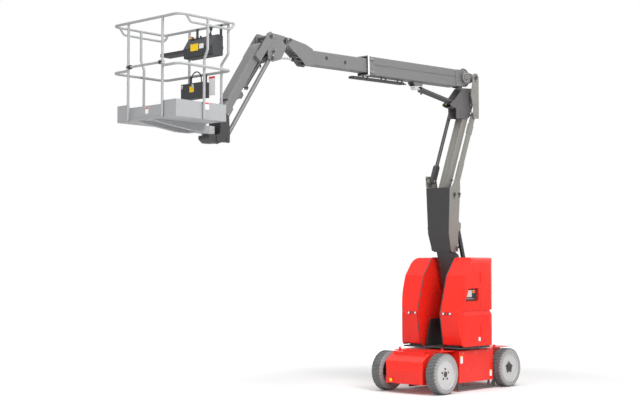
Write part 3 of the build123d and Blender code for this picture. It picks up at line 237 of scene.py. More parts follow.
def drawn_metal_group():
    """Turned or drawn bare metal: fine lines round the piece and faint stains."""
    s, came, goes = new_group("drawn_metal", {
        "Colour": (0.6, 0.6, 0.6, 1), "Line Scale": 300.0, "Roughness": 0.2})
    where = s.add("Mapping", {"Vector": s.place(), "Scale": (1.0, 0.06, 1.0)}).outputs[0]
    lines = s.noise(came["Line Scale"], 3.0, 0.6, where)
    stain = s.noise(11.0, 5.0, 0.6)
    s.join(s.tinted(s.plus(s.times(stain, 0.35), 0.8), came["Colour"]), goes["Colour"])
    s.join(s.plus(came["Roughness"], s.times(s.plus(lines, stain), 0.1), True), goes["Roughness"])
    s.join(lines, goes["Height"])


# ---------------------------------------------------------------- materials
def full(colour):
    return (*colour, 1.0)


def material(name, group, values, metallic=0.0, coat=0.0, coat_roughness=0.1, bump=0.2, distance=0.001, specular=0.5):
    """A Principled material whose colour, roughness and relief come from one of the groups."""
    made = bpy.data.materials.new(name)
    made.use_nodes = True
    s = Shading(made.node_tree)
    shader = made.node_tree.nodes["Principled BSDF"].inputs
    effect = s.effect(group, values)
    relief = s.add("Bump", {"Strength": bump, "Distance": distance, "Height": effect["Height"]})
    for value, label in ((effect["Colour"], "Base Color"), (effect["Roughness"], "Roughness"),
                         (relief.outputs["Normal"], "Normal"), (metallic, "Metallic"), (coat, "Coat Weight"),
                         (coat_roughness, "Coat Roughness"), (specular, "Specular IOR Level")):
        s.join(value, shader[label])


def make_paints(f):
    rows = (
        # name, colour, worn colour, roughness, cloudiness, edge wear, dust, bump
        ("body_red", f.body_red, (0.95, 0.10, 0.09), 0.26, 0.06, 0.35, 0.04, 0.08),
        ("boom_grey", f.boom_grey, (0.42, 0.41, 0.39), 0.36, 0.14, 0.7, 0.16, 0.14),
        # painted light: the riser's lighter, warmer copy of the boom grey, for its lit near sides
        ("riser_lit_grey", f.riser_lit_grey, (0.5, 0.48, 0.44), 0.38, 0.14, 0.6, 0.16, 0.14),
        ("bracket_grey", (0.11, 0.105, 0.108), (0.3, 0.29, 0.27), 0.42, 0.2, 0.7, 0.2, 0.2),
        ("frame_dark", f.frame_dark, (0.20, 0.19, 0.18), 0.40, 0.25, 0.8, 0.30, 0.2),
        ("basket_silver", f.basket_silver, (0.30, 0.29, 0.27), 0.34, 0.08, 0.35, 0.08, 0.10),
        ("wheel_grey", f.wheel_grey, (0.30, 0.29, 0.27), 0.42, 0.10, 0.4, 0.22, 0.16),
        ("barrel_dark", (0.060, 0.058, 0.057), (0.28, 0.27, 0.26), 0.30, 0.2, 0.6, 0.2, 0.12),
        ("cast_dark", (0.035, 0.033, 0.031), (0.16, 0.14, 0.12), 0.62, 0.4, 0.8, 0.4, 0.55),
        ("hub_brown", (0.085, 0.022, 0.016), (0.3, 0.2, 0.16), 0.5, 0.5, 0.6, 0.2, 0.3),
    )
    peel = {"body_red": 240.0, "cast_dark": 140.0}
    gloss = {"body_red": {"coat": 0.10, "coat_roughness": 0.12, "specular": 0.28}, "barrel_dark": {"coat": 0.2},
             "cast_dark": {"distance": 0.002}}
    for name, colour, worn, rough, cloudy, edges, dust, bump in rows:
        material(name, "sprayed_coat", {
            "Colour": full(colour), "Worn Colour": full(worn), "Roughness": rough, "Cloudiness": cloudy,
            "Edge Amount": edges, "Dust Amount": dust, "Peel Scale": peel.get(name, 260.0)},
            bump=bump, **gloss.get(name, {}))


def make_rubbers(f):
    for name, colour, scuffed, scuffing, bump, specular in (
        ("tread_rubber", f.tread, (0.24, 0.24, 0.24), 0.45, 0.3, 0.3),
        ("sidewall_rubber", f.sidewall, (0.36, 0.36, 0.35), 0.35, 0.22, 0.3),
        ("hose_rubber", (0.014, 0.014, 0.015), (0.07, 0.07, 0.07), 0.3, 0.2, 0.4),
        ("hose_pale", (0.42, 0.40, 0.38), (0.30, 0.28, 0.26), 0.4, 0.2, 0.5),
    ):
        material(name, "scuffed_rubber", {"Colour": full(colour), "Scuff Colour": full(scuffed), "Scuffing": scuffing},
                 bump=bump, specular=specular)


def make_plastics(f):
    for name, colour, rough, bump, coat, grain in (
        ("black_plastic", f.plastic, 0.42, 0.16, 0.0, 700.0),
        ("pad_plastic", (0.012, 0.012, 0.012), 0.5, 0.12, 0.0, 700.0),
        ("grip_black", (0.02, 0.02, 0.021), 0.6, 0.3, 0.0, 420.0),
        ("stop_red", (0.75, 0.012, 0.010), 0.3, 0.05, 0.3, 700.0),
        ("warning_yellow", (0.95, 0.62, 0.01), 0.42, 0.06, 0.0, 700.0),
        ("plate_white", (0.82, 0.82, 0.81), 0.40, 0.05, 0.0, 700.0),
        ("plate_red", (0.72, 0.015, 0.020), 0.40, 0.05, 0.0, 700.0),
        ("lens_clear", (0.80, 0.80, 0.78), 0.12, 0.1, 0.6, 700.0),
        ("screen_pale", (0.55, 0.56, 0.52), 0.15, 0.04, 0.6, 700.0),
        ("key_grey", (0.34, 0.27, 0.25), 0.35, 0.1, 0.0, 700.0),
        ("seal_slate", (0.035, 0.045, 0.052), 0.55, 0.1, 0.0, 700.0),
    ):
        material(name, "moulded_grain", {"Colour": full(colour), "Roughness": rough, "Grain Scale": grain},
                 coat=coat, bump=bump)


def make_metals():
    for name, colour, rough, bump in (
        ("chrome_rod", (0.72, 0.72, 0.73), 0.10, 0.05),
        ("fitting_yellow", (0.80, 0.55, 0.12), 0.3, 0.1),
        ("zinc", (0.52, 0.51, 0.48), 0.30, 0.1),
    ):
        material(name, "drawn_metal", {"Colour": full(colour), "Roughness": rough}, metallic=1.0, bump=bump)


NODE_FINISH = {
    "body_red": ("chassis_frame", "side_panels", "nose_cover", "tail_left", "tail_right", "inner_panels", "hood_left",
                 "hood_right"),
    # painted shade: upright_cover takes the dark frame paint as a shaded copy of the riser's grey, for the upright's
    # front face
    "frame_dark": ("fixed_axle", "steer_axle", "knuckle_left", "knuckle_right", "pothole_guards", "turntable_base",
                   "lower_arm", "lower_link", "upright_cover", "upper_link", "nose_ears", "platform_support",
                   "rotator_base", "batteries", "counterweights"),
    "cast_dark": ("slew_ring",),
    "boom_grey": ("boom_outer", "boom_inner", "gooseneck", "jib_arm", "jib_link", "nose_bracket"),
    "bracket_grey": ("lift_bracket",),
    # painted light: these take the lighter, warmer copy of the boom grey for the riser's lit near sides
    "riser_lit_grey": ("mid_upright", "upper_arm", "side_links", "top_upright"),
    "basket_silver": ("platform_beams", "platform_floor", "platform_rails", "gate_bar"),
    "wheel_grey": ("rim_fl", "rim_fr", "rim_rl", "rim_rr"),
    "pad_plastic": ("boom_pads", "hose_drum"),
    "black_plastic": ("console", "tool_box"),
    "barrel_dark": ("tower_barrel", "lift_barrel", "level_barrel", "jib_barrel"),
    "chrome_rod": ("tower_rod", "lift_rod", "level_rod", "jib_rod"),
    "tread_rubber": ("tyre_fl", "tyre_fr", "tyre_rl", "tyre_rr"),
}


# -------------------------------------------------------------- mesh helpers
def both(side, near, far):
    """Two distances across the machine on one side, lower one first."""
    return sorted((side * near, side * far))


def placed(point, x, y, z):
    """A matrix with its origin at a point and its axes along three directions."""
    made = Matrix((x, y, z)).transposed().to_4x4()
    made.translation = Vector(point)
    return made


def ray(turn, radius=1.0):
    """A step in the machine's side view, at an angle from its front."""
    return Vector((math.cos(turn) * radius, 0, math.sin(turn) * radius))


def bevel(bm, edges, offset, segments=2):
    bmesh.ops.bevel(bm, geom=edges, offset=offset, offset_type="OFFSET", segments=segments, profile=0.5,
                    affect="EDGES", material=-1)


def add_bar(bm, start, end, radius, sides=24, edge=0.0):
    """A round or many-sided bar between two points, with bevelled rims."""
    a, b = Vector(start), Vector(end)
    place = Matrix.Translation((a + b) / 2) @ (b - a).to_track_quat("Z", "Y").to_matrix().to_4x4()
    made = bmesh.ops.create_cone(bm, cap_ends=True, segments=sides, radius1=radius, radius2=radius,
                                 depth=(b - a).length, matrix=place)["verts"]
    if edge:
        caps = {f for v in made for f in v.link_faces if len(f.verts) > 4}
        bevel(bm, list({e for f in caps for e in f.edges}), edge)


def add_block(bm, low, high, edge=0.002, segments=2, turn=None):
    """A block between two corners with rounded edges; turn is a matrix applied to it."""
    low, high = Vector(low), Vector(high)
    place = Matrix.Translation((low + high) / 2) @ Matrix.Diagonal((*(high - low), 1.0))
    made = bmesh.ops.create_cube(bm, size=1.0, matrix=place)["verts"]
    if turn is not None:
        bmesh.ops.transform(bm, matrix=turn, verts=made)
    bevel(bm, list({e for v in made for e in v.link_edges}), edge, segments)


def add_turned(bm, centre, axis, profile, steps=48):
    """A turned form: pairs of (along the axis, radius) spun about the axis through centre."""
    centre, axis = Vector(centre), Vector(axis).normalized()
    side = axis.orthogonal().normalized()
    verts = [bm.verts.new(centre + axis * along + side * max(radius, 1e-5)) for along, radius in profile]
    edges = [bm.edges.new(pair) for pair in zip(verts, verts[1:])]
    bmesh.ops.spin(bm, geom=verts + edges, cent=centre, axis=axis, angle=math.tau, steps=steps, use_merge=True,
                   use_duplicate=False)


def add_bolt(bm, seat, out, width):
    """A hexagon head and its washer, standing out from seat."""
    seat, out = Vector(seat), Vector(out).normalized()
    base = width * 0.12
    add_bar(bm, seat - out * 0.001, seat + out * base, width * 0.78, 16, width * 0.03)
    add_bar(bm, seat + out * (base - 0.0005), seat + out * (base + width * 0.45), width * 0.577, 6, width * 0.06)


def join_rings(bm, rings, closed=False):
    """Faces between rings of the same number of points."""
    for a, b in zip(rings, rings[1:] + (rings[:1] if closed else [])):
        for k in range(len(a)):
            j = (k + 1) % len(a)
            bm.faces.new((a[k], a[j], b[j], b[k]))


def piece(name, bm, finish, body, smooth=32.0, replaces=None, weighted=False):
    """Closes a mesh, gives it its materials and its body, and lets it stand for a CAD node."""
    bmesh.ops.remove_doubles(bm, verts=bm.verts, dist=1e-5)
    bmesh.ops.recalc_face_normals(bm, faces=bm.faces)
    mesh = bpy.data.meshes.new(name)
    bm.to_mesh(mesh)
    bm.free()
    for one in finish.split():
        mesh.materials.append(bpy.data.materials[one])
    mesh.shade_smooth()
    mesh.set_sharp_from_angle(angle=math.radians(smooth))
    made = bpy.data.objects.new(name, mesh)
    bpy.context.scene.collection.objects.link(made)
    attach(made, body)
    if weighted:
        even = made.modifiers.new("even_shading", "WEIGHTED_NORMAL")
        even.keep_sharp = True
        even.weight = 100
    if replaces:
        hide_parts(replaces)


def add_plate(bm, outline, y0, y1, edge=0.0):
    """A flat plate across the machine: its outline in x and z, from y0 to y1."""
    low = [bm.verts.new((x, y0, z)) for x, z in outline]
    made = bmesh.ops.extrude_face_region(bm, geom=[bm.faces.new(low)])["geom"]
    high = [g for g in made if isinstance(g, bmesh.types.BMVert)]
    bmesh.ops.translate(bm, vec=(0, y1 - y0, 0), verts=high)
    if edge:
        rim = [e for e in bm.edges if e.is_manifold and abs(e.verts[0].co.y - e.verts[1].co.y) < 1e-6
               and round(e.verts[0].co.y, 6) in (round(y0, 6), round(y1, 6))
               and any(abs(f.normal.y) > 0.9 for f in e.link_faces)
               and any(abs(f.normal.y) < 0.1 for f in e.link_faces)]
        bm.normal_update()
        bevel(bm, rim, edge)


def corners(points):
    """Each corner of a closed outline, with the ones before and after it."""
    return zip(points[-1:] + points[:-1], points, points[1:] + points[:1])


def arc(before, here, after, radius, steps):
    """Points that round a corner."""
    into, away = (here - before).normalized(), (after - here).normalized()
    reach = min(radius * math.tan(into.angle(away) / 2), (here - before).length * 0.49, (after - here).length * 0.49)
    a, b = here - into * reach, here + away * reach
    return [(1 - t) ** 2 * a + 2 * t * (1 - t) * here + t * t * b for t in (k / steps for k in range(steps + 1))]


def rounded(outline, radius, steps=5):
    """A closed outline with each corner turned into a short arc."""
    points = [Vector(p) for p in outline]
    return [point for corner in corners(points) for point in arc(*corner, radius, steps)]


def smooth_run(points, radius, steps=8):
    """Points along a bent tube: straight runs with an arc at each corner."""
    points = [Vector(p) for p in points]
    out = [points[0]]
    for corner in zip(points, points[1:], points[2:]):
        out += arc(*corner, radius, steps)
    return out + [points[-1]]


def grown(outline, amount):
    """An outline in x and z, moved out by an amount on every side."""
    points = [Vector(p) for p in outline]
    turn = sum(a.x * b.y - b.x * a.y for a, b in zip(points, points[1:] + points[:1]))
    out = []
    for before, here, after in corners(points):
        normals = [Vector((d.y, -d.x)) * (1 if turn > 0 else -1)
                   for d in ((here - before).normalized(), (after - here).normalized())]
        middle = (normals[0] + normals[1]).normalized()
        out.append(here + middle * amount / max(0.3, middle.dot(normals[0])))
    return out


def add_loop(bm, outline, width, y0, y1, edge=0.0):
    """A frame of a given width round an outline, from y0 to y1."""
    wide = grown(outline, width)
    rows = [[bm.verts.new((x, y, z)) for x, z in ring]
            for ring, y in ((outline, y0), (outline, y1), (wide, y1), (wide, y0))]
    join_rings(bm, rows, True)
    if edge:
        count = len(outline)
        bevel(bm, [e for a in rows for k in range(count) for e in a[k].link_edges
                   if e.other_vert(a[k]) is a[(k + 1) % count]], edge)


def add_tube(bm, points, radius, sides=16):
    """A round tube along points, closed at both ends."""
    points = [Vector(p) for p in points]
    normal = (points[1] - points[0]).orthogonal().normalized()
    rings = []
    for before, here, after in zip(points[:1] + points, points, points[1:] + points[-1:]):
        ahead = (after - before).normalized()
        normal = (normal - ahead * normal.dot(ahead)).normalized()
        side = ahead.cross(normal)
        rings.append([bm.verts.new(here + (normal * math.cos(a) + side * math.sin(a)) * radius)
                      for a in (math.tau * k / sides for k in range(sides))])
    join_rings(bm, rings)
    bm.faces.new(list(reversed(rings[0])))
    bm.faces.new(rings[-1])


def carve(node, cutters):
    """A copy of a CAD node's mesh with pockets cut in it."""
    scene = bpy.context.scene.collection
    made = bpy.data.objects.new("carving", frame["nodes"][node].data.copy())
    scene.objects.link(made)
    tools = []
    for bm in cutters:
        bmesh.ops.recalc_face_normals(bm, faces=bm.faces)
        mesh = bpy.data.meshes.new("cutter")
        bm.to_mesh(mesh)
        bm.free()
        tool = bpy.data.objects.new("cutter", mesh)
        scene.objects.link(tool)
        tools.append(tool)
        cut = made.modifiers.new("cut", "BOOLEAN")
        cut.operation = "DIFFERENCE"
        cut.solver = "EXACT"
        cut.object = tool
    bpy.context.view_layer.update()
    result = bpy.data.meshes.new_from_object(made.evaluated_get(bpy.context.evaluated_depsgraph_get()))
    bm = bmesh.new()
    bm.from_mesh(result)
    for face in bm.faces:
        face.material_index = 0
    for one in (made, *tools):
        bpy.data.objects.remove(one)
    return bm


# -------------------------------------------------------------------- hoods
HOOD_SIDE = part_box("tail_left")[1].y - 0.013      # the doors' side faces, inside their hinge barrels
HOOD_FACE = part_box("hood_left")[1].x
HOOD_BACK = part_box("tail_left")[0].x
HOOD_WALL = 0.020
INNER_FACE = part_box("inner_panels")[1].y
FRONT_ROUND, REAR_ROUND = 0.130, 0.200
GROOVE_LOW, GROOVE_TOP, GROOVE_DEPTH = 1.132, 1.210, 0.017
GROOVE_MIDDLE = (GROOVE_LOW + GROOVE_TOP) / 2
GROOVE_RUN = 0.085       # length over which the groove grows to its full depth
LAMP_Z = 1.163
LAMP_SEAT = HOOD_FACE - 0.0165
RECESS = ((0.240, 1.540), (-0.014, 1.546), (-0.012, 1.348), (0.326, 1.350))
PANEL = ((0.252, 1.524), (0.004, 1.528), (0.006, 1.364), (0.306, 1.366))
SCREEN = ((0.246, 1.514), (0.128, 1.517), (0.126, 1.414), (0.268, 1.412))
RECESS_DEPTH = 0.042
LENS_PROFILE = ((0.0, 0.018), (0.006, 0.018), (0.009, 0.016), (0.011, 0.009), (0.012, 0.0))


def groove_cutter(side):
    """A groove round the side of a hood: undercut above, sloping out below, running out to nothing in front."""
    stations = []
    for x, radius, turns in ((HOOD_FACE - FRONT_ROUND, FRONT_ROUND, [52 * (1 - k / 12) for k in range(13)]),
                             (HOOD_BACK + REAR_ROUND, REAR_ROUND, [-90 * k / 14 for k in range(15)])):
        for turn in turns:
            sine, cosine = math.sin(math.radians(turn)), math.cos(math.radians(turn))
            stations.append((Vector((x + radius * sine, HOOD_SIDE - radius + radius * cosine)), Vector((sine, cosine))))
    stations.append((Vector((HOOD_BACK, INNER_FACE + 0.05)), Vector((-1, 0))))
    bm = bmesh.new()
    rings = []
    run = 0.0
    for index, (spot, out) in enumerate(stations):
        if index:
            run += (spot - stations[index - 1][0]).length
        grow = min(1.0, run / GROOVE_RUN)
        ring = []
        for reach, level in ((0.03, GROOVE_LOW), (0.03, GROOVE_TOP), (-GROOVE_DEPTH * grow, GROOVE_TOP),
                             (-GROOVE_DEPTH * grow, GROOVE_TOP - 0.012), (0.0015, GROOVE_LOW)):
            flat = spot + out * reach
            height = GROOVE_MIDDLE + (level - GROOVE_MIDDLE) * (0.25 + 0.75 * grow)
            ring.append(bm.verts.new((flat.x, side * flat.y, height)))
        rings.append(ring)
    join_rings(bm, rings)
    bm.faces.new(rings[0])
    bm.faces.new(rings[-1])
    return bm


def seal_outline(side):
    """The edge of the flat inner panel in x and z, in order round it."""
    ring = {(round(v.co.x, 4), round(v.co.z, 4)): True for v in frame["nodes"]["inner_panels"].data.vertices
            if abs(v.co.y - side * INNER_FACE) < 0.0006}
    middle = Vector((-0.02, 1.30))
    outline = sorted(ring, key=lambda p: math.atan2(p[1] - middle.y, p[0] - middle.x))
    return [p for p in outline if (Vector(p) - middle).length > 0.30]


class LIFT_OT_hoods(Operator):
    """Hoods with their grooves, lamps and seals"""
    bl_idname = "lift.hoods"
    bl_label = "Hoods"

    def execute(self, context):
        for word, side in (("left", 1), ("right", -1)):
            door = f"hood_door_{word}"
            y0, y1 = both(side, INNER_FACE + 0.027, INNER_FACE + 0.196)
            slot = bmesh.new()
            add_block(slot, (HOOD_FACE - 0.016, y0, 1.140), (HOOD_FACE + 0.03, y1, 1.187), 0.007)
            cutters = [groove_cutter(side), slot]
            if side > 0:
                window = bmesh.new()
                add_plate(window, rounded(RECESS, 0.018), HOOD_SIDE - 0.05, HOOD_SIDE + 0.02)
                cutters.append(window)
            for kind, body, cuts in (("hood", door, cutters), ("tail", "turntable", [groove_cutter(side)])):
                node = f"{kind}_{word}"
                piece(f"{kind}_skin_{word}", carve(node, cuts), "body_red", body, 24.0, node, True)
            clear, red, rims = bmesh.new(), bmesh.new(), bmesh.new()
            y0, y1 = both(side, INNER_FACE + 0.026, INNER_FACE + 0.197)
            add_block(rims, (HOOD_FACE - 0.0195, y0, 1.1395), (HOOD_FACE - 0.0152, y1, 1.1875), 0.0015)
            for lens, across in ((clear, 0.048), (clear, 0.172), (red, 0.110)):
                seat = (LAMP_SEAT, side * (INNER_FACE + across), LAMP_Z)
                add_turned(lens, seat, ALONG, LENS_PROFILE, 24)
                if lens is clear:
                    add_turned(rims, seat, ALONG, ((0.0, 0.0225), (0.006, 0.0225), (0.006, 0.0182), (0.0, 0.0182)), 24)
            piece(f"lamp_clear_{word}", clear, "lens_clear", door)
            piece(f"lamp_red_{word}", red, "plate_red", door)
            piece(f"lamp_rims_{word}", rims, "black_plastic", door)
            bm = bmesh.new()
            add_loop(bm, seal_outline(side), 0.0045, *both(side, INNER_FACE - 0.013, INNER_FACE + 0.002), 0.0015)
            piece(f"hood_seal_{word}", bm, "seal_slate", "turntable", 50.0)
        return {"FINISHED"}


class LIFT_OT_ground_controls(Operator):
    """The ground control box in the near hood"""
    bl_idname = "lift.ground_controls"
    bl_label = "Ground controls"

    def execute(self, context):
        body = "hood_door_left"
        back = HOOD_SIDE - RECESS_DEPTH
        face = back + 0.012       # of the panel
        opening = rounded(RECESS, 0.018)
        bm = bmesh.new()
        add_loop(bm, opening, 0.004, back - 0.004, HOOD_SIDE - HOOD_WALL + OVERLAP)
        add_plate(bm, grown(opening, 0.004), back - 0.005, back)
        piece("control_tray", bm, "body_red", body)
        bm = bmesh.new()
        add_loop(bm, opening, 0.010, HOOD_SIDE - 0.0005, HOOD_SIDE + 0.0022, 0.0012)
        piece("control_rim", bm, "body_red", body, 50.0)
        bm = bmesh.new()
        add_plate(bm, rounded(PANEL, 0.012), back - OVERLAP, face)
        add_loop(bm, rounded(PANEL, 0.012), 0.005, back - OVERLAP, back + 0.016, 0.002)
        for z in (1.447, 1.408):
            for x in (0.086, 0.044):
                add_turned(bm, (x, face, z), ACROSS, ((0.0, 0.013), (0.004, 0.013), (0.005, 0.010), (0.015, 0.009),
                                                      (0.016, 0.008), (0.016, 0.0)), 24)
                add_block(bm, (x - 0.002, back + 0.026, z), (x + 0.002, back + 0.031, z + 0.009), 0.0008)
        piece("control_panel", bm, "black_plastic", body)
        bm = bmesh.new()
        add_plate(bm, rounded(SCREEN, 0.006), back + 0.010, back + 0.0145)
        piece("control_screen", bm, "screen_pale", body)
        bm = bmesh.new()
        for k in range(7):
            x = 0.278 - 0.033 * k
            add_block(bm, (x - 0.012, back + 0.010, 1.379), (x + 0.012, back + 0.0150, 1.395), 0.003, 3)
        piece("control_keys", bm, "key_grey", body)
        seat = (0.078, face, 1.495)
        bm = bmesh.new()
        add_turned(bm, seat, ACROSS, ((0.0, 0.026), (0.003, 0.026), (0.004, 0.024), (0.004, 0.012), (0.0, 0.012)), 32)
        piece("stop_ring", bm, "warning_yellow", body)
        bm = bmesh.new()
        add_turned(bm, seat, ACROSS, ((0.003, 0.0), (0.003, 0.010), (0.014, 0.010), (0.015, 0.018), (0.022, 0.018),
                                      (0.026, 0.013), (0.027, 0.0)), 32)
        piece("stop_button", bm, "stop_red", body)
        return {"FINISHED"}


# ------------------------------------------------------------ blank plates
def lean(point, normal, across, up):
    """A matrix for something flat: its X across, its Y up, its Z out of the surface."""
    out = Vector(normal).normalized()
    right = (Vector(across) - out * Vector(across).dot(out)).normalized()
    top = out.cross(right)
    if top.dot(Vector(up)) < 0:
        right, top = -right, -top
    return placed(point, right, top, out)


def add_sticker(bm, place, width, height, thick=0.0009):
    """A thin blank plate with round corners, lying on a surface."""
    box = ((-width / 2, -height / 2), (width / 2, -height / 2), (width / 2, height / 2), (-width / 2, height / 2))
    ring = rounded(box, min(0.004, width / 3, height / 3), 4)
    low, high = ([bm.verts.new(place @ Vector((x, y, level))) for x, y in ring] for level in (-0.0006, thick))
    join_rings(bm, [low, high])
    bm.faces.new(high)
    bm.faces.new(list(reversed(low)))


FRONT, NEAR, FLAT = (ALONG, ACROSS, UP), (ACROSS, ALONG, UP), (UP, ACROSS, ALONG)     # out, across and up
CORNER = ((1, -1, 0), (1, 1, 0), UP)


def plate_rows():
    """Blank plates, and black sheets as painted shade in the nose's slots: name, body, point, directions, width,
    height, ground, band, band's share at the top.
    """
    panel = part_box("side_panels")[1].y
    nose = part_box("nose_cover")[1]
    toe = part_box("platform_floor")[1]
    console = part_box("console")[1].x
    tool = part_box("tool_box")[1].x
    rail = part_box("platform_rails")[0].x + 0.034
    white, yellow, red, black = "plate_white", "warning_yellow", "plate_red", "black_plastic"
    return (
        ("side_front", "chassis", (0.325, panel, 0.478), NEAR, 0.060, 0.110, white, yellow, 0.16),
        ("side_rear", "chassis", (-0.435, panel, 0.240), NEAR, 0.058, 0.092, white, yellow, 0.2),
        ("hood_low", "hood_door_left", (-0.030, HOOD_SIDE, 0.775), NEAR, 0.050, 0.056, white, None, 0),
        ("nose_mark", "chassis", (nose.x, -0.205, 0.196), FRONT, 0.048, 0.044, yellow, None, 0),
        # painted shade: the next two black sheets stand for the dark inside the nose cover's slots
        ("slot_painted_shade", "chassis", (nose.x - 0.0285, -nose.y + 0.031, 0.305), CORNER, 0.022, 0.165, black, None, 0),
        ("slot_top_painted_shade", "chassis", (0.80, -0.06, nose.z), FLAT, 0.110, 0.024, black, None, 0),
        ("toe_front", "platform", (toe.x - 0.004, 0.013, 3.738), FRONT, 0.056, 0.070, white, red, 0.2),
        ("toe_near", "platform", (5.515, toe.y, 3.792), NEAR, 0.066, 0.080, white, red, 0.2),
        ("console_yellow", "platform", (console, 0.165, 4.562), FRONT, 0.140, 0.085, yellow, None, 0),
        ("console_white", "platform", (console, 0.292, 4.566), FRONT, 0.078, 0.058, white, None, 0),
        ("tool_yellow", "platform", (tool, 0.042, 4.065), FRONT, 0.080, 0.072, yellow, None, 0),
        ("placard", "platform", (rail, 0.291, 4.095), FRONT, 0.115, 0.235, white, red, 0.1),
    )


class LIFT_OT_plates(Operator):
    """Blank plates and bands, with nothing written on them, and black sheets of painted shade where the nose cover's
    slots are
    """
    bl_idname = "lift.plates"
    bl_label = "Blank plates"

    def execute(self, context):
        for name, body, point, directions, width, height, ground, band, share in plate_rows():
            place = lean(point, *directions)
            thick = 0.004 if name == "placard" else 0.0009
            bm = bmesh.new()
            add_sticker(bm, place, width, height, thick)
            piece(f"plate_{name}", bm, ground, body)
            if band:
                bm = bmesh.new()
                tall = height * share
                top = Matrix.Translation((0, height / 2 - tall / 2 - 0.002, thick))
                add_sticker(bm, place @ top, width - 0.004, tall)
                piece(f"band_{name}", bm, band, body)
        return {"FINISHED"}


# --------------------------------------------------------------------- pins
class LIFT_OT_pins(Operator):
    """Pin caps with their keeper plates and bolts"""
    bl_idname = "lift.pins"
    bl_label = "Pins"

    def execute(self, context):
        cheek = 0.160
        upright, top, nose, jib = (
            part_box(node)[1].y for node in ("mid_upright", "top_upright", "nose_bracket", "jib_arm"))
        for body, half, rows in (
            # body that carries the caps, half width there, and each pin's joint, cap radius and keeper's direction
            ("turntable", cheek, (("tower_lift", 0.036, (1, 1)), ("lower_link_foot", 0.030, (1, 1)))),
            ("upright_mid", upright, (("mid_upright_level", 0.032, (0, 1)), ("upper_arm_lift", 0.030, (0, -1)),
                                      ("front_link_foot", 0.024, (-1, 0)), ("side_links_foot", 0.024, (0, -1)))),
            ("upright_top", top, (("top_upright_level", 0.026, (0, 1)), ("boom_lift", 0.034, (0, -1)))),
            ("nose", nose, (("nose_level", 0.024, (1, 0)), ("jib_lift", 0.026, (-1, 0)),
                            ("jib_link_foot", 0.020, (0, 1)), ("jib_cylinder_foot", 0.018, (-1, 1)))),
            ("jib", jib, (("platform_level", 0.024, (-1, 1)),)),
        ):
            caps, bolts = bmesh.new(), bmesh.new()
            for joint, radius, (forward, upward) in rows:
                along = Vector((forward, 0, upward)).normalized()
                for side in SIDES:
                    out = Vector((0, side, 0))
                    seat = Vector((PINS[joint].x, side * half, PINS[joint].z))
                    add_turned(caps, seat, out, ((-0.001, radius), (0.004, radius), (0.006, radius - 0.002),
                                                 (0.006, radius * 0.55), (0.004, radius * 0.50), (0.004, 0.0)), 28)
                    keeper = placed(seat + along * radius, along, out, along.cross(out))
                    add_block(caps, (-0.016, -0.001, -0.011), (0.030, 0.0035, 0.011), 0.0015, 2, keeper)
                    add_bolt(bolts, seat + along * (radius + 0.016) + out * 0.0035, out, 0.013)
            piece(f"pin_caps_{body}", caps, "frame_dark", body)
            piece(f"pin_bolts_{body}", bolts, "zinc", body)
        return {"FINISHED"}


# --------------------------------------------------------------------- boom
BOOM_SLOPE = math.radians(-1.62)
RISE = (-math.sin(BOOM_SLOPE), 0, math.cos(BOOM_SLOPE))
BOOM = placed(PINS["boom_lift"], (math.cos(BOOM_SLOPE), 0, math.sin(BOOM_SLOPE)), ACROSS, RISE)    # X along it, Z up


def boom_section(node, nearer, farther):
    """Half width, top and underside of a boom piece between two distances from the pivot."""
    home = BOOM.inverted()
    points = [home @ v.co for v in frame["nodes"][node].data.vertices]
    points = [p for p in points if nearer < p.x < farther]
    return max(p.y for p in points), max(p.z for p in points), min(p.z for p in points)


OUTER_END = 2.562
BAND_WIDTH = 0.026
OUTER_HALF, OUTER_TOP, OUTER_LOW = boom_section("boom_outer", 2.0, 2.6)
INNER_HALF = boom_section("boom_inner", 3.6, 3.9)[0]
TRAY_LOW = OUTER_LOW - 0.062
TRAY_HALF = 0.038
TRAY_FRONT = OUTER_END + 0.26
DRUM_GAP = 0.002
RIM_PROFILE = ((-0.003, 0.001), (0.003, 0.001), (0.0045, -0.003), (0.0045, -0.011), (0.001, -0.014), (-0.003, -0.014))


def on_boom(along, across, up):
    return BOOM @ Vector((along, across, up))


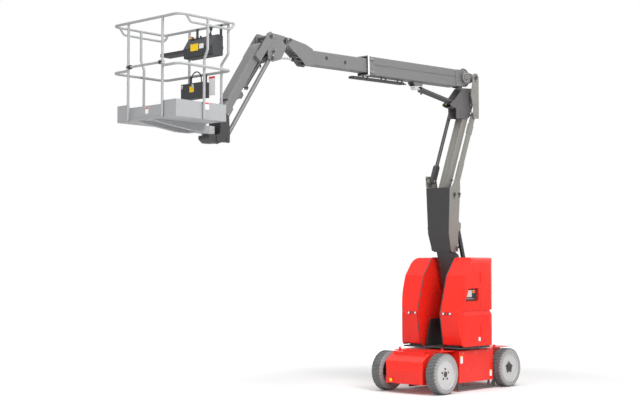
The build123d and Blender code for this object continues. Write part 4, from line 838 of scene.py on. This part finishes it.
class LIFT_OT_boom(Operator):
    """The boom's front band, pad screws, weld lines and plugs"""
    bl_idname = "lift.boom"
    bl_label = "Boom"

    def execute(self, context):
        body = "boom_base"
        out, top, low = OUTER_HALF + 0.003, OUTER_TOP + 0.003, OUTER_LOW - 0.003
        bm = bmesh.new()
        for y0, y1, z0, z1 in ((-out, out, OUTER_TOP - OVERLAP, top), (-out, out, low, OUTER_LOW + OVERLAP),
                               (OUTER_HALF - OVERLAP, out, low, top), (-out, -OUTER_HALF + OVERLAP, low, top)):
            add_block(bm, (OUTER_END - BAND_WIDTH, y0, z0), (OUTER_END, y1, z1), 0.0008, 2, BOOM)
        piece("boom_band", bm, "plate_white", body)

        plates, bolts = bmesh.new(), bmesh.new()
        for side in SIDES:
            y0, y1 = both(side, OUTER_HALF - OVERLAP, OUTER_HALF + 0.005)
            for level in (0.060, -0.125):
                add_block(plates, (OUTER_END - 0.128, y0, level - 0.019), (OUTER_END - 0.040, y1, level + 0.019),
                          0.0025, 2, BOOM)
                for along in (OUTER_END - 0.108, OUTER_END - 0.060):
                    add_bolt(bolts, on_boom(along, side * (OUTER_HALF + 0.005), level), (0, side, 0), 0.015)
            # weld line along the side
            y0, y1 = both(side, OUTER_HALF - 0.002, OUTER_HALF + 0.0016)
            add_block(plates, (0.42, y0, -0.013), (OUTER_END - 0.135, y1, -0.007), 0.0008, 1, BOOM)
        for along in (OUTER_END - 0.10, OUTER_END - 0.06):
            for across in (-0.05, 0.05):
                add_bolt(bolts, on_boom(along, across, OUTER_TOP), RISE, 0.015)
        piece("boom_pad_plates", plates, "boom_grey", body)
        piece("boom_pad_bolts", bolts, "zinc", body)

        bm = bmesh.new()
        for side in SIDES:
            for along, level in ((3.42, -0.012), (3.03, -0.033)):
                add_turned(bm, on_boom(along, side * (INNER_HALF - 0.0005), level), (0, side, 0), (
                    (0.0, 0.027), (0.0022, 0.027), (0.003, 0.025), (0.003, 0.0165), (0.001, 0.016), (0.001, 0.010),
                    (0.0026, 0.009), (0.0026, 0.0)), 28)
        piece("boom_inner_plugs", bm, "frame_dark", "boom_tip")
        return {"FINISHED"}


class LIFT_OT_boom_hoses(Operator):
    """The cable tray under the boom, the hose drum and the reel beside the pivot"""
    bl_idname = "lift.boom_hoses"
    bl_label = "Boom hoses"

    def execute(self, context):
        body = "boom_base"
        tray, hoses = bmesh.new(), bmesh.new()
        wall = TRAY_HALF - 0.004
        for y0, y1, z1 in ((-TRAY_HALF, TRAY_HALF, 0.004), (-TRAY_HALF, -wall, 0.036), (wall, TRAY_HALF, 0.036)):
            add_block(tray, (1.66, y0, TRAY_LOW), (TRAY_FRONT, y1, TRAY_LOW + z1), 0.001, 1, BOOM)
        lip = [on_boom(TRAY_FRONT, across, TRAY_LOW + 0.018) for across in (-TRAY_HALF, TRAY_HALF)]
        add_bar(tray, *lip, 0.019, 28, 0.003)
        for along in (1.72, 2.10, OUTER_END - 0.05):
            for side in SIDES:
                y0, y1 = both(side, TRAY_HALF, TRAY_HALF + 0.006)
                add_block(tray, (along - 0.018, y0, TRAY_LOW + 0.004), (along + 0.018, y1, OUTER_LOW + OVERLAP),
                          0.001, 1, BOOM)
        piece("cable_tray", tray, "frame_dark", body)
        for across in (-0.022, 0.0, 0.022):
            ends = [on_boom(along, across, TRAY_LOW + 0.014) for along in (1.60, OUTER_END + 0.25)]
            add_bar(hoses, *ends, 0.0095, 14)
        piece("tray_hoses", hoses, "hose_rubber", body)

        low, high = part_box("hose_drum")
        drum, drum_radius = (low + high) / 2, (high.z - low.z) / 2
        lug = boom_section("boom_outer", 0.0, 0.45)[0]
        rim, dark, pale = bmesh.new(), bmesh.new(), bmesh.new()
        for side, spot, across, radius in ((-1, drum, high.y, drum_radius), (1, drum, high.y, drum_radius),
                                           (1, on_boom(0.238, 0, -0.014), lug + DRUM_GAP, 0.095)):
            out = Vector((0, side, 0))
            seat = Vector((spot.x, side * across, spot.z))
            add_turned(rim, seat, out, [(along, radius + wider) for along, wider in RIM_PROFILE], 56)
            add_turned(rim, seat, out, ((-0.001, 0.034), (0.007, 0.034), (0.009, 0.030), (0.009, 0.0)), 32)
            for k in range(6):
                spoke = ray(math.tau * k / 6 + 0.3)
                ends = [seat + spoke * reach + out * 0.002 for reach in (0.030, radius - 0.008)]
                add_bar(rim, *ends, 0.0058, 12)
            for ring in range(4):
                r = radius - 0.030 - 0.016 * ring
                bends = [math.pi * k / 6 for k in range(7)]
                profile = [(0.004 * math.sin(a) - 0.001, r - 0.0075 * math.cos(a)) for a in bends]
                add_turned(dark if ring % 2 else pale, seat, out, profile, 48)
        piece("drum_rim", rim, "boom_grey", body)
        piece("drum_turns_dark", dark, "hose_rubber", body)
        piece("drum_turns_pale", pale, "hose_pale", body)
        return {"FINISHED"}


# -------------------------------------------------------- riser and chassis
class LIFT_OT_riser(Operator):
    """Hoses along the upper arm, lifting eye and cover bolts of the riser"""
    bl_idname = "lift.riser"
    bl_label = "Riser"

    def execute(self, context):
        foot, head = PINS["upper_arm_lift"], PINS["top_upright_level"]
        along = (head - foot).normalized()
        front = Vector((along.z, 0, -along.x))
        run = (head - foot).length
        depth = max((v.co - foot).dot(front) for v in frame["nodes"]["upper_arm"].data.vertices
                    if 0.1 * run < (v.co - foot).dot(along) < 0.9 * run)
        hoses, clamps = bmesh.new(), bmesh.new()
        for k, across in enumerate((-0.048, -0.029, -0.010, 0.009, 0.028, 0.047)):
            bulge = 0.003 * math.sin(2.1 * k)
            places = []
            for t in (0.47 + 0.41 * j / 24 for j in range(25)):
                off = front * (depth + 0.008 + bulge * math.sin(9 * t + k))
                places.append(foot + along * (run * t) + off + Vector((0, across, 0)))
            add_tube(hoses, places, 0.0085, 12)
        for t in (0.50, 0.62, 0.74, 0.86):
            turn = placed(foot + along * (run * t) + front * depth, front, ACROSS, front.cross(Vector(ACROSS)))
            add_block(clamps, (-0.001, -0.062, -0.012), (0.024, 0.062, 0.012), 0.002, 2, turn)
        piece("arm_hoses", hoses, "hose_rubber", "arm_up", 60.0)
        piece("arm_clamps", clamps, "frame_dark", "arm_up")
        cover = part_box("upright_cover")[1]
        bolts = bmesh.new()
        for y in (-0.19, 0.19):
            for z in (2.46, 2.75, 3.02):
                add_bolt(bolts, (cover.x - 0.0005, y, z), ALONG, 0.015)
        piece("cover_bolts", bolts, "cast_dark", "upright_mid")
        eye = bmesh.new()
        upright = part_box("mid_upright")[1]
        y = -upright.y + 0.05
        bends = [(upright.x + out, y + across, upright.z + up) for out, across, up in (
            (-0.002, -0.03, -0.05), (0.030, -0.03, -0.04), (0.030, 0.03, -0.04), (-0.002, 0.03, -0.05))]
        add_tube(eye, smooth_run(bends, 0.02), 0.006, 12)
        piece("lifting_eye", eye, "frame_dark", "upright_mid", 60.0)
        return {"FINISHED"}


class LIFT_OT_chassis(Operator):
    """Guard plates between the wheels and screws of the chassis covers"""
    bl_idname = "lift.chassis"
    bl_label = "Chassis"

    def execute(self, context):
        low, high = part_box("pothole_guards")
        foot, top = low.z, high.z - 0.002
        bm = bmesh.new()
        for side in SIDES:
            add_plate(bm, ((low.x, foot), (high.x, foot), (high.x, top), (high.x - 0.035, top),
                           (high.x - 0.10, foot + 0.052), (low.x + 0.12, foot + 0.040), (low.x + 0.05, top),
                           (low.x, top)),
                      *both(side, high.y - OVERLAP, high.y + 0.005), 0.0012)
        piece("guard_plates", bm, "frame_dark", "chassis")
        nose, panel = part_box("nose_cover"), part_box("side_panels")
        bm = bmesh.new()
        for across, z, width, places in (
            (nose[1].y, 0.50, 0.015, (nose[0].x + 0.05, nose[0].x + 0.20)),
            (panel[1].y, 0.575, 0.013, (panel[0].x + 0.16, -0.05, panel[1].x - 0.10)),
        ):
            for side in SIDES:
                for x in places:
                    add_bolt(bm, (x, side * (across - 0.0005), z), (0, side, 0), width)
        piece("cover_screws", bm, "zinc", "chassis")
        return {"FINISHED"}


class LIFT_OT_cylinders(Operator):
    """Glands, ports and fittings of the four cylinders"""
    bl_idname = "lift.cylinders"
    bl_label = "Cylinders"

    def execute(self, context):
        for name, radius in (("tower", 0.047), ("lift", 0.047), ("level", 0.035), ("jib", 0.035)):
            body = f"{name}_cyl"
            points = [v.co for v in frame["nodes"][f"{name}_barrel"].data.vertices]
            low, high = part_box(f"{name}_barrel")
            middle, half = (low.y + high.y) / 2, (high.y - low.y) / 2
            pin = PINS[f"{name}_cylinder_foot"]
            far = max(points, key=lambda c: (Vector((c.x, 0, c.z)) - Vector((pin.x, 0, pin.z))).length)
            mouth = [c for c in points if (c - far).length < radius * 2.2]
            end = Vector((sum(c.x for c in mouth) / len(mouth), middle, sum(c.z for c in mouth) / len(mouth)))
            foot = Vector((pin.x, middle, pin.z))
            axis = (end - foot).normalized()
            length = (far - foot).dot(axis)
            out = axis.cross(Vector(ACROSS)).normalized()
            if (out.z < 0) != (name in ("lift", "jib")):
                out = -out
            metal, brass = bmesh.new(), bmesh.new()
            for along in (0.20, length - 0.05):
                seat = foot + axis * along + out * (half - 0.004)
                elbow = seat + out * 0.022
                add_bar(metal, seat, seat + out * 0.016, 0.013, 16, 0.0015)
                add_bar(brass, seat + out * 0.015, seat + out * 0.028, 0.0105, 6, 0.001)
                add_bar(metal, elbow - axis * 0.004, elbow + axis * 0.036, 0.0065, 14, 0.001)
            if name != "lift":    # the boom comes down close to the lift cylinder's gland
                add_turned(metal, foot + axis * (length - 0.030), axis, (
                    (0.0, half - 0.001), (0.0, half + 0.0025), (0.020, half + 0.0025), (0.022, half - 0.001)), 40)
            piece(f"ports_{name}", metal, "barrel_dark", body)
            piece(f"fittings_{name}", brass, "fitting_yellow", body)
        return {"FINISHED"}


# ----------------------------------------------------------------- platform
class LIFT_OT_rails(Operator):
    """Side loops of the platform's top rail"""
    bl_idname = "lift.rails"
    bl_label = "Rails"

    def execute(self, context):
        low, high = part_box("platform_rails")
        front, rear, level = high.x - 0.017, low.x + 0.017, 4.832
        bm = bmesh.new()
        for side in SIDES:
            y = side * (high.y - 0.017)
            bends = ((front - 0.10, y, level), (front - 0.17, y, level - 0.082), (rear + 0.03, y, level - 0.082),
                     (rear - 0.06, y, level), (rear + 0.10, y, level))
            add_tube(bm, smooth_run(bends, 0.045), 0.0145)
        piece("rail_loops", bm, "basket_silver", "platform", 60.0)
        return {"FINISHED"}


class LIFT_OT_console(Operator):
    """Joystick, knobs and stop button of the platform's console"""
    bl_idname = "lift.console"
    bl_label = "Console"

    def execute(self, context):
        low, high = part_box("console")
        top = high.z - 0.13
        black, red, yellow = bmesh.new(), bmesh.new(), bmesh.new()
        add_turned(black, (low.x + 0.085, 0.34, top - 0.02), (-0.10, 0.10, 1.0), (
            (0.0, 0.032), (0.010, 0.031), (0.016, 0.024), (0.024, 0.026), (0.030, 0.018), (0.038, 0.019),
            (0.046, 0.011), (0.075, 0.009), (0.085, 0.016), (0.125, 0.018), (0.140, 0.013), (0.144, 0.0)), 28)
        for y in (0.06, 0.13, 0.20):
            add_turned(black, (low.x + 0.11, y, top - 0.005), UP, (
                (-0.01, 0.011), (0.012, 0.011), (0.014, 0.009), (0.014, 0.0)), 20)
        spot = (low.x + 0.10, 0.02, top - 0.004)
        add_turned(yellow, spot, UP, ((-0.006, 0.024), (0.004, 0.024), (0.005, 0.020), (0.005, 0.0)), 28)
        add_turned(red, spot, UP, (
            (0.004, 0.009), (0.014, 0.009), (0.015, 0.018), (0.021, 0.018), (0.025, 0.012), (0.026, 0.0)), 28)
        piece("console_controls", black, "grip_black", "platform")
        piece("console_stop_ring", yellow, "warning_yellow", "platform")
        piece("console_stop", red, "stop_red", "platform")
        return {"FINISHED"}


class LIFT_OT_entrance(Operator):
    """Grips on the gate bar and the toe board across the entrance"""
    bl_idname = "lift.entrance"
    bl_label = "Entrance"

    def execute(self, context):
        low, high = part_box("gate_bar")
        middle = (low + high) / 2
        bm = bmesh.new()
        for side in SIDES:
            add_turned(bm, (middle.x, side * (high.y - 0.075), middle.z), (0, side, 0), tuple(
                (0.063 * k / 12, 0.0252 + 0.0012 * (k % 2)) for k in range(13)) + ((0.064, 0.012),), 28)
        piece("gate_grips", bm, "grip_black", "gate")

        low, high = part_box("platform_floor")
        top = low.z + 0.160
        bm = bmesh.new()
        add_block(bm, (high.x - 0.012, -0.300, low.z + 0.002), (high.x - 0.004, 0.300, top), 0.0015)
        add_bar(bm, (high.x - 0.008, -0.300, top), (high.x - 0.008, 0.300, top), 0.006, 16)
        piece("entrance_board", bm, "basket_silver", "platform")
        return {"FINISHED"}


class LIFT_OT_tool_box(Operator):
    """The cable over the tool box, and its clips"""
    bl_idname = "lift.tool_box"
    bl_label = "Tool box"

    def execute(self, context):
        low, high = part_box("tool_box")
        lid = max(v.co.z for v in frame["nodes"]["tool_box"].data.vertices if v.co.x > high.x - 0.005)
        middle = (low.x + high.x) / 2
        curve = bpy.data.curves.new("tool_box_cable", "CURVE")
        curve.dimensions = "3D"
        curve.bevel_depth = 0.0075
        curve.bevel_resolution = 4
        curve.resolution_u = 10
        curve.use_fill_caps = True
        points = [(middle, across, lid + up) for across, up in (
            (-0.03, 0.0), (-0.03, 0.05), (-0.01, 0.11), (0.04, 0.145), (0.09, 0.145), (0.14, 0.11), (0.16, 0.05),
            (0.16, 0.0))]
        line = curve.splines.new("NURBS")
        line.points.add(len(points) - 1)
        for point, place in zip(line.points, points):
            point.co = (*place, 1.0)
        line.order_u = 3
        line.use_endpoint_u = True
        curve.materials.append(bpy.data.materials["hose_rubber"])
        cable = bpy.data.objects.new("tool_box_cable", curve)
        context.scene.collection.objects.link(cable)
        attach(cable, "platform")
        clips = bmesh.new()
        for y in (-0.14, 0.06):
            add_block(clips, (high.x - OVERLAP, y - 0.016, lid - 0.062), (high.x + 0.007, y + 0.016, lid - 0.012),
                      0.003)
            add_block(clips, (high.x + 0.005, y - 0.010, lid - 0.030), (high.x + 0.011, y + 0.010, lid - 0.018))
        piece("tool_box_clips", clips, "zinc", "platform")
        return {"FINISHED"}


# ------------------------------------------------------------------- wheels
WHEELS = (
    # name, side of the machine, carries the drive hub
    ("fl", 1, False), ("fr", -1, False), ("rl", 1, True), ("rr", -1, True),
)
RUBBER_DEPTH = 0.074      # from the tread to the disc
SHOULDER = 0.022
NUT_CIRCLE, STUD_CIRCLE = 0.078, 0.058


def wheel_facts(name):
    low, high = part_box(f"tyre_{name}")
    return (low + high) / 2, (high.z - low.z) / 2, (high.y - low.y) / 2


def add_lug(bm, centre, radius, half, hand, start, pitch, depth):
    """A curved block on one side of the tread, sunk into the groove's floor."""
    made = bmesh.ops.create_grid(bm, x_segments=5, y_segments=2, size=0.5)["verts"]
    top = list({f for v in made for f in v.link_faces})
    for v in made:
        across, around = v.co.x + 0.5, v.co.y + 0.5
        y = -0.004 + across * (half + 0.004)
        beyond = max(0.0, y - (half - SHOULDER))
        r = radius - SHOULDER + math.sqrt(max(0.0, SHOULDER ** 2 - beyond ** 2)) if beyond else radius
        if across > 0.99:
            y, r = half - 0.0005, radius - SHOULDER - 0.001
        angle = start + hand * 0.20 * across ** 1.2 + around * pitch * (0.50 + 0.12 * across)
        v.co = centre + Vector((math.cos(angle) * r, hand * y, math.sin(angle) * r))
    deep = bmesh.ops.extrude_face_region(bm, geom=top)["geom"]
    for v in (g for g in deep if isinstance(g, bmesh.types.BMVert)):
        v.co -= Vector((v.co.x - centre.x, 0.0, v.co.z - centre.z)).normalized() * (depth + 0.003)


class LIFT_OT_tyres(Operator):
    """Solid tyres with slanted lugs, in place of the plain ones"""
    bl_idname = "lift.tyres"
    bl_label = "Tyres"

    def execute(self, context):
        s = context.scene.lift_sizes
        for name, _, _ in WHEELS:
            centre, radius, half = wheel_facts(name)
            seat, floor = radius - RUBBER_DEPTH, radius - s.tread_depth
            near = ((half, seat), (half, seat + 0.010), (half - 0.002, seat + 0.013), (half - 0.001, seat + 0.030),
                    (half, radius - SHOULDER - 0.006), (half - 0.006, floor - 0.006), (half - 0.016, floor))
            bm = bmesh.new()
            outline = [(-along, r) for along, r in near] + list(reversed(near)) + [(-half, seat)]
            add_turned(bm, centre, ACROSS, outline, 72)
            for face in bm.faces:
                face.material_index = 0 if abs(face.calc_center_median().y - centre.y) < half - 0.012 else 1
            pitch = math.tau / s.lugs
            for hand in SIDES:
                for count in range(s.lugs):
                    start = pitch * (count + (0.5 if hand > 0 else 0.0))
                    add_lug(bm, centre, radius, half, hand, start, pitch, s.tread_depth)
            piece(f"tyre_tread_{name}", bm, "tread_rubber sidewall_rubber", f"wheel_{name}", 38.0,
                  f"tyre_{name}")
        return {"FINISHED"}


class LIFT_OT_hubs(Operator):
    """Wheel nuts and hub caps"""
    bl_idname = "lift.hubs"
    bl_label = "Hubs"

    def execute(self, context):
        turns = [math.tau * (k + 0.25) / 5 for k in range(5)]
        for name, side, driven in WHEELS:
            centre, _, half = wheel_facts(name)
            out = Vector((0, side, 0))
            hub = Vector((centre.x, centre.y + side * (half - 0.026), centre.z))
            nuts, cap = bmesh.new(), bmesh.new()
            for turn in turns:
                spot = hub + ray(turn, NUT_CIRCLE)
                add_turned(nuts, spot, out, (
                    (-0.006, 0.0135), (0.0012, 0.0135), (0.0012, 0.0105), (-0.004, 0.0098), (-0.004, 0.0)), 20)
                add_bar(nuts, spot - out * 0.006, spot + out * 0.0035, 0.0078, 6, 0.001)
            piece(f"wheel_nuts_{name}", nuts, "cast_dark", f"wheel_{name}")
            if driven:
                add_turned(cap, hub, out, ((-0.012, 0.068), (0.004, 0.068), (0.008, 0.064), (0.008, 0.052),
                                           (0.014, 0.046), (0.014, 0.026), (0.020, 0.020), (0.020, 0.0)), 40)
                for turn in turns:
                    spot = hub + ray(turn, STUD_CIRCLE)
                    add_bar(cap, spot - out * 0.006, spot + out * 0.016, 0.012, 16, 0.002)
            else:
                add_turned(cap, hub, out, ((-0.010, 0.042), (0.001, 0.042), (0.003, 0.040), (0.003, 0.034),
                                           (-0.004, 0.030), (-0.004, 0.016), (0.002, 0.014), (0.004, 0.010),
                                           (0.004, 0.0)), 40)
            piece(f"hub_cap_{name}", cap, "cast_dark" if driven else "hub_brown", f"wheel_{name}")
        return {"FINISHED"}


# -------------------------------------------------------------------- stage
CAMERA_PLACE = (15.276, 11.308, 1.903)
CAMERA_YAW = math.radians(-137.54)
CAMERA_PITCH = math.radians(3.03)
CAMERA_LENS = 68.507
FLOOR_RADIUS = 60.0
SHADOW_REACH, WHITE_FROM = 2.5, 9.0      # distances from the machine between which the floor turns white
AMBIENT = 0.24


def add_object(scene, name, data):
    made = bpy.data.objects.new(name, data)
    scene.collection.objects.link(made)
    return made


class LIFT_OT_stage(Operator):
    """Pale floor, soft studio lamps and the camera"""
    bl_idname = "lift.stage"
    bl_label = "Stage"

    def add_camera(self, scene):
        data = bpy.data.cameras.new("camera")
        data.lens = CAMERA_LENS
        data.sensor_width = 36.0
        data.sensor_fit = "HORIZONTAL"
        camera = add_object(scene, "camera", data)
        look = Vector((math.cos(CAMERA_YAW) * math.cos(CAMERA_PITCH), math.sin(CAMERA_YAW) * math.cos(CAMERA_PITCH),
                       math.sin(CAMERA_PITCH)))
        camera.location = CAMERA_PLACE
        camera.rotation_euler = look.to_track_quat("-Z", "Y").to_euler()
        scene.camera = camera

    def add_floor(self, scene, colour):
        bm = bmesh.new()
        bmesh.ops.create_circle(bm, cap_ends=True, segments=96, radius=FLOOR_RADIUS)
        mesh = bpy.data.meshes.new("floor")
        bm.to_mesh(mesh)
        bm.free()
        ground = bpy.data.materials.new("studio_floor")
        ground.use_nodes = True
        s = Shading(ground.node_tree)
        shader = ground.node_tree.nodes["Principled BSDF"].inputs
        shader["Roughness"].default_value = 0.95
        shader["Specular IOR Level"].default_value = 0.1
        shader["Emission Color"].default_value = WHITE
        s.join(s.tinted(s.plus(s.times(s.noise(3.0, 4.0), 0.01), 0.995), full(colour)), shader["Base Color"])
        away = s.add("VectorMath", {"Vector": s.place()}, operation="LENGTH").outputs["Value"]
        far = s.add("MapRange", {"Value": away, "From Min": SHADOW_REACH, "From Max": WHITE_FROM, "To Min": 0.05,
                                 "To Max": 1.0}, interpolation_type="SMOOTHSTEP").outputs["Result"]
        s.join(s.times(s.add("LightPath").outputs["Is Camera Ray"], far), shader["Emission Strength"])
        mesh.materials.append(ground)
        add_object(scene, "floor", mesh)

    def add_world(self, scene):
        scene.world = bpy.data.worlds.new("studio")
        scene.world.use_nodes = True
        s = Shading(scene.world.node_tree)
        back = scene.world.node_tree.nodes["Background"].inputs
        path = s.add("LightPath").outputs
        seen = s.most(s.most(path["Is Camera Ray"], path["Is Glossy Ray"]), path["Is Transmission Ray"])
        back["Color"].default_value = WHITE
        s.join(s.plus(s.times(seen, 1 - AMBIENT), AMBIENT), back["Strength"])

    def execute(self, context):
        scene = context.scene
        settings = scene.lift_stage
        scene.view_settings.view_transform = "Standard"
        self.add_camera(scene)
        self.add_floor(scene, settings.floor)
        self.add_world(scene)
        for name, place, aim, size, watts in (
            ("key_lamp", (4.5, 9.0, 8.5), (1.5, 0.0, 2.6), 6.0, settings.key),
            ("fill_lamp", (12.0, 2.0, 5.0), (1.5, 0.0, 2.4), 5.0, settings.fill),
            ("top_lamp", (2.0, 1.0, 13.0), (2.0, 0.0, 0.0), 12.0, settings.top),
        ):
            lamp = bpy.data.lights.new(name, "AREA")
            lamp.energy = watts
            lamp.size = size
            made = add_object(scene, name, lamp)
            made.location = place
            ahead = (Vector(aim) - Vector(place)).normalized()
            made.rotation_euler = ahead.to_track_quat("-Z", "Y").to_euler()
        return {"FINISHED"}


class LIFT_OT_finishes(Operator):
    """Paint, rubber, plastic and metal, and the frame's own pieces finished in them"""
    bl_idname = "lift.finishes"
    bl_label = "Finishes"

    def execute(self, context):
        for build in (edge_wear_group, dust_group, coat_group, rubber_group, moulded_group, drawn_metal_group):
            build()
        colours = context.scene.lift_finish
        make_paints(colours)
        make_rubbers(colours)
        make_plastics(colours)
        make_metals()
        for name, nodes in NODE_FINISH.items():
            for node in nodes:
                mesh = frame["nodes"][node].data
                for index in range(len(mesh.materials)):
                    mesh.materials[index] = bpy.data.materials[name]
        return {"FINISHED"}


OPERATORS = (LIFT_OT_stage, LIFT_OT_finishes, LIFT_OT_hoods, LIFT_OT_ground_controls, LIFT_OT_plates, LIFT_OT_pins,
             LIFT_OT_boom, LIFT_OT_boom_hoses, LIFT_OT_riser, LIFT_OT_chassis, LIFT_OT_cylinders, LIFT_OT_rails,
             LIFT_OT_console, LIFT_OT_entrance, LIFT_OT_tool_box, LIFT_OT_tyres, LIFT_OT_hubs)


class LIFT_PT_panel(Panel):
    """The boom lift's pieces and settings"""
    bl_idname = "LIFT_PT_panel"
    bl_label = "Boom Lift"
    bl_space_type = "VIEW_3D"
    bl_region_type = "UI"
    bl_category = "Boom Lift"

    def draw(self, context):
        for group in (context.scene.lift_finish, context.scene.lift_sizes, context.scene.lift_stage):
            box = self.layout.box()
            for name in group.__annotations__:
                box.prop(group, name)
        for operator in OPERATORS:
            self.layout.operator(operator.bl_idname)


CLASSES = (LiftFinish, LiftSizes, LiftStage, *OPERATORS, LIFT_PT_panel)


def register():
    for one in CLASSES:
        bpy.utils.register_class(one)
    bpy.types.Scene.lift_finish = PointerProperty(type=LiftFinish)
    bpy.types.Scene.lift_sizes = PointerProperty(type=LiftSizes)
    bpy.types.Scene.lift_stage = PointerProperty(type=LiftStage)


def unregister():
    for name in ("lift_finish", "lift_sizes", "lift_stage"):
        delattr(bpy.types.Scene, name)
    for one in reversed(CLASSES):
        bpy.utils.unregister_class(one)


def main():
    register()
    for operator in OPERATORS:
        group, name = operator.bl_idname.split(".")
        getattr(getattr(bpy.ops, group), name)()


if __name__ == "__main__":
    main()
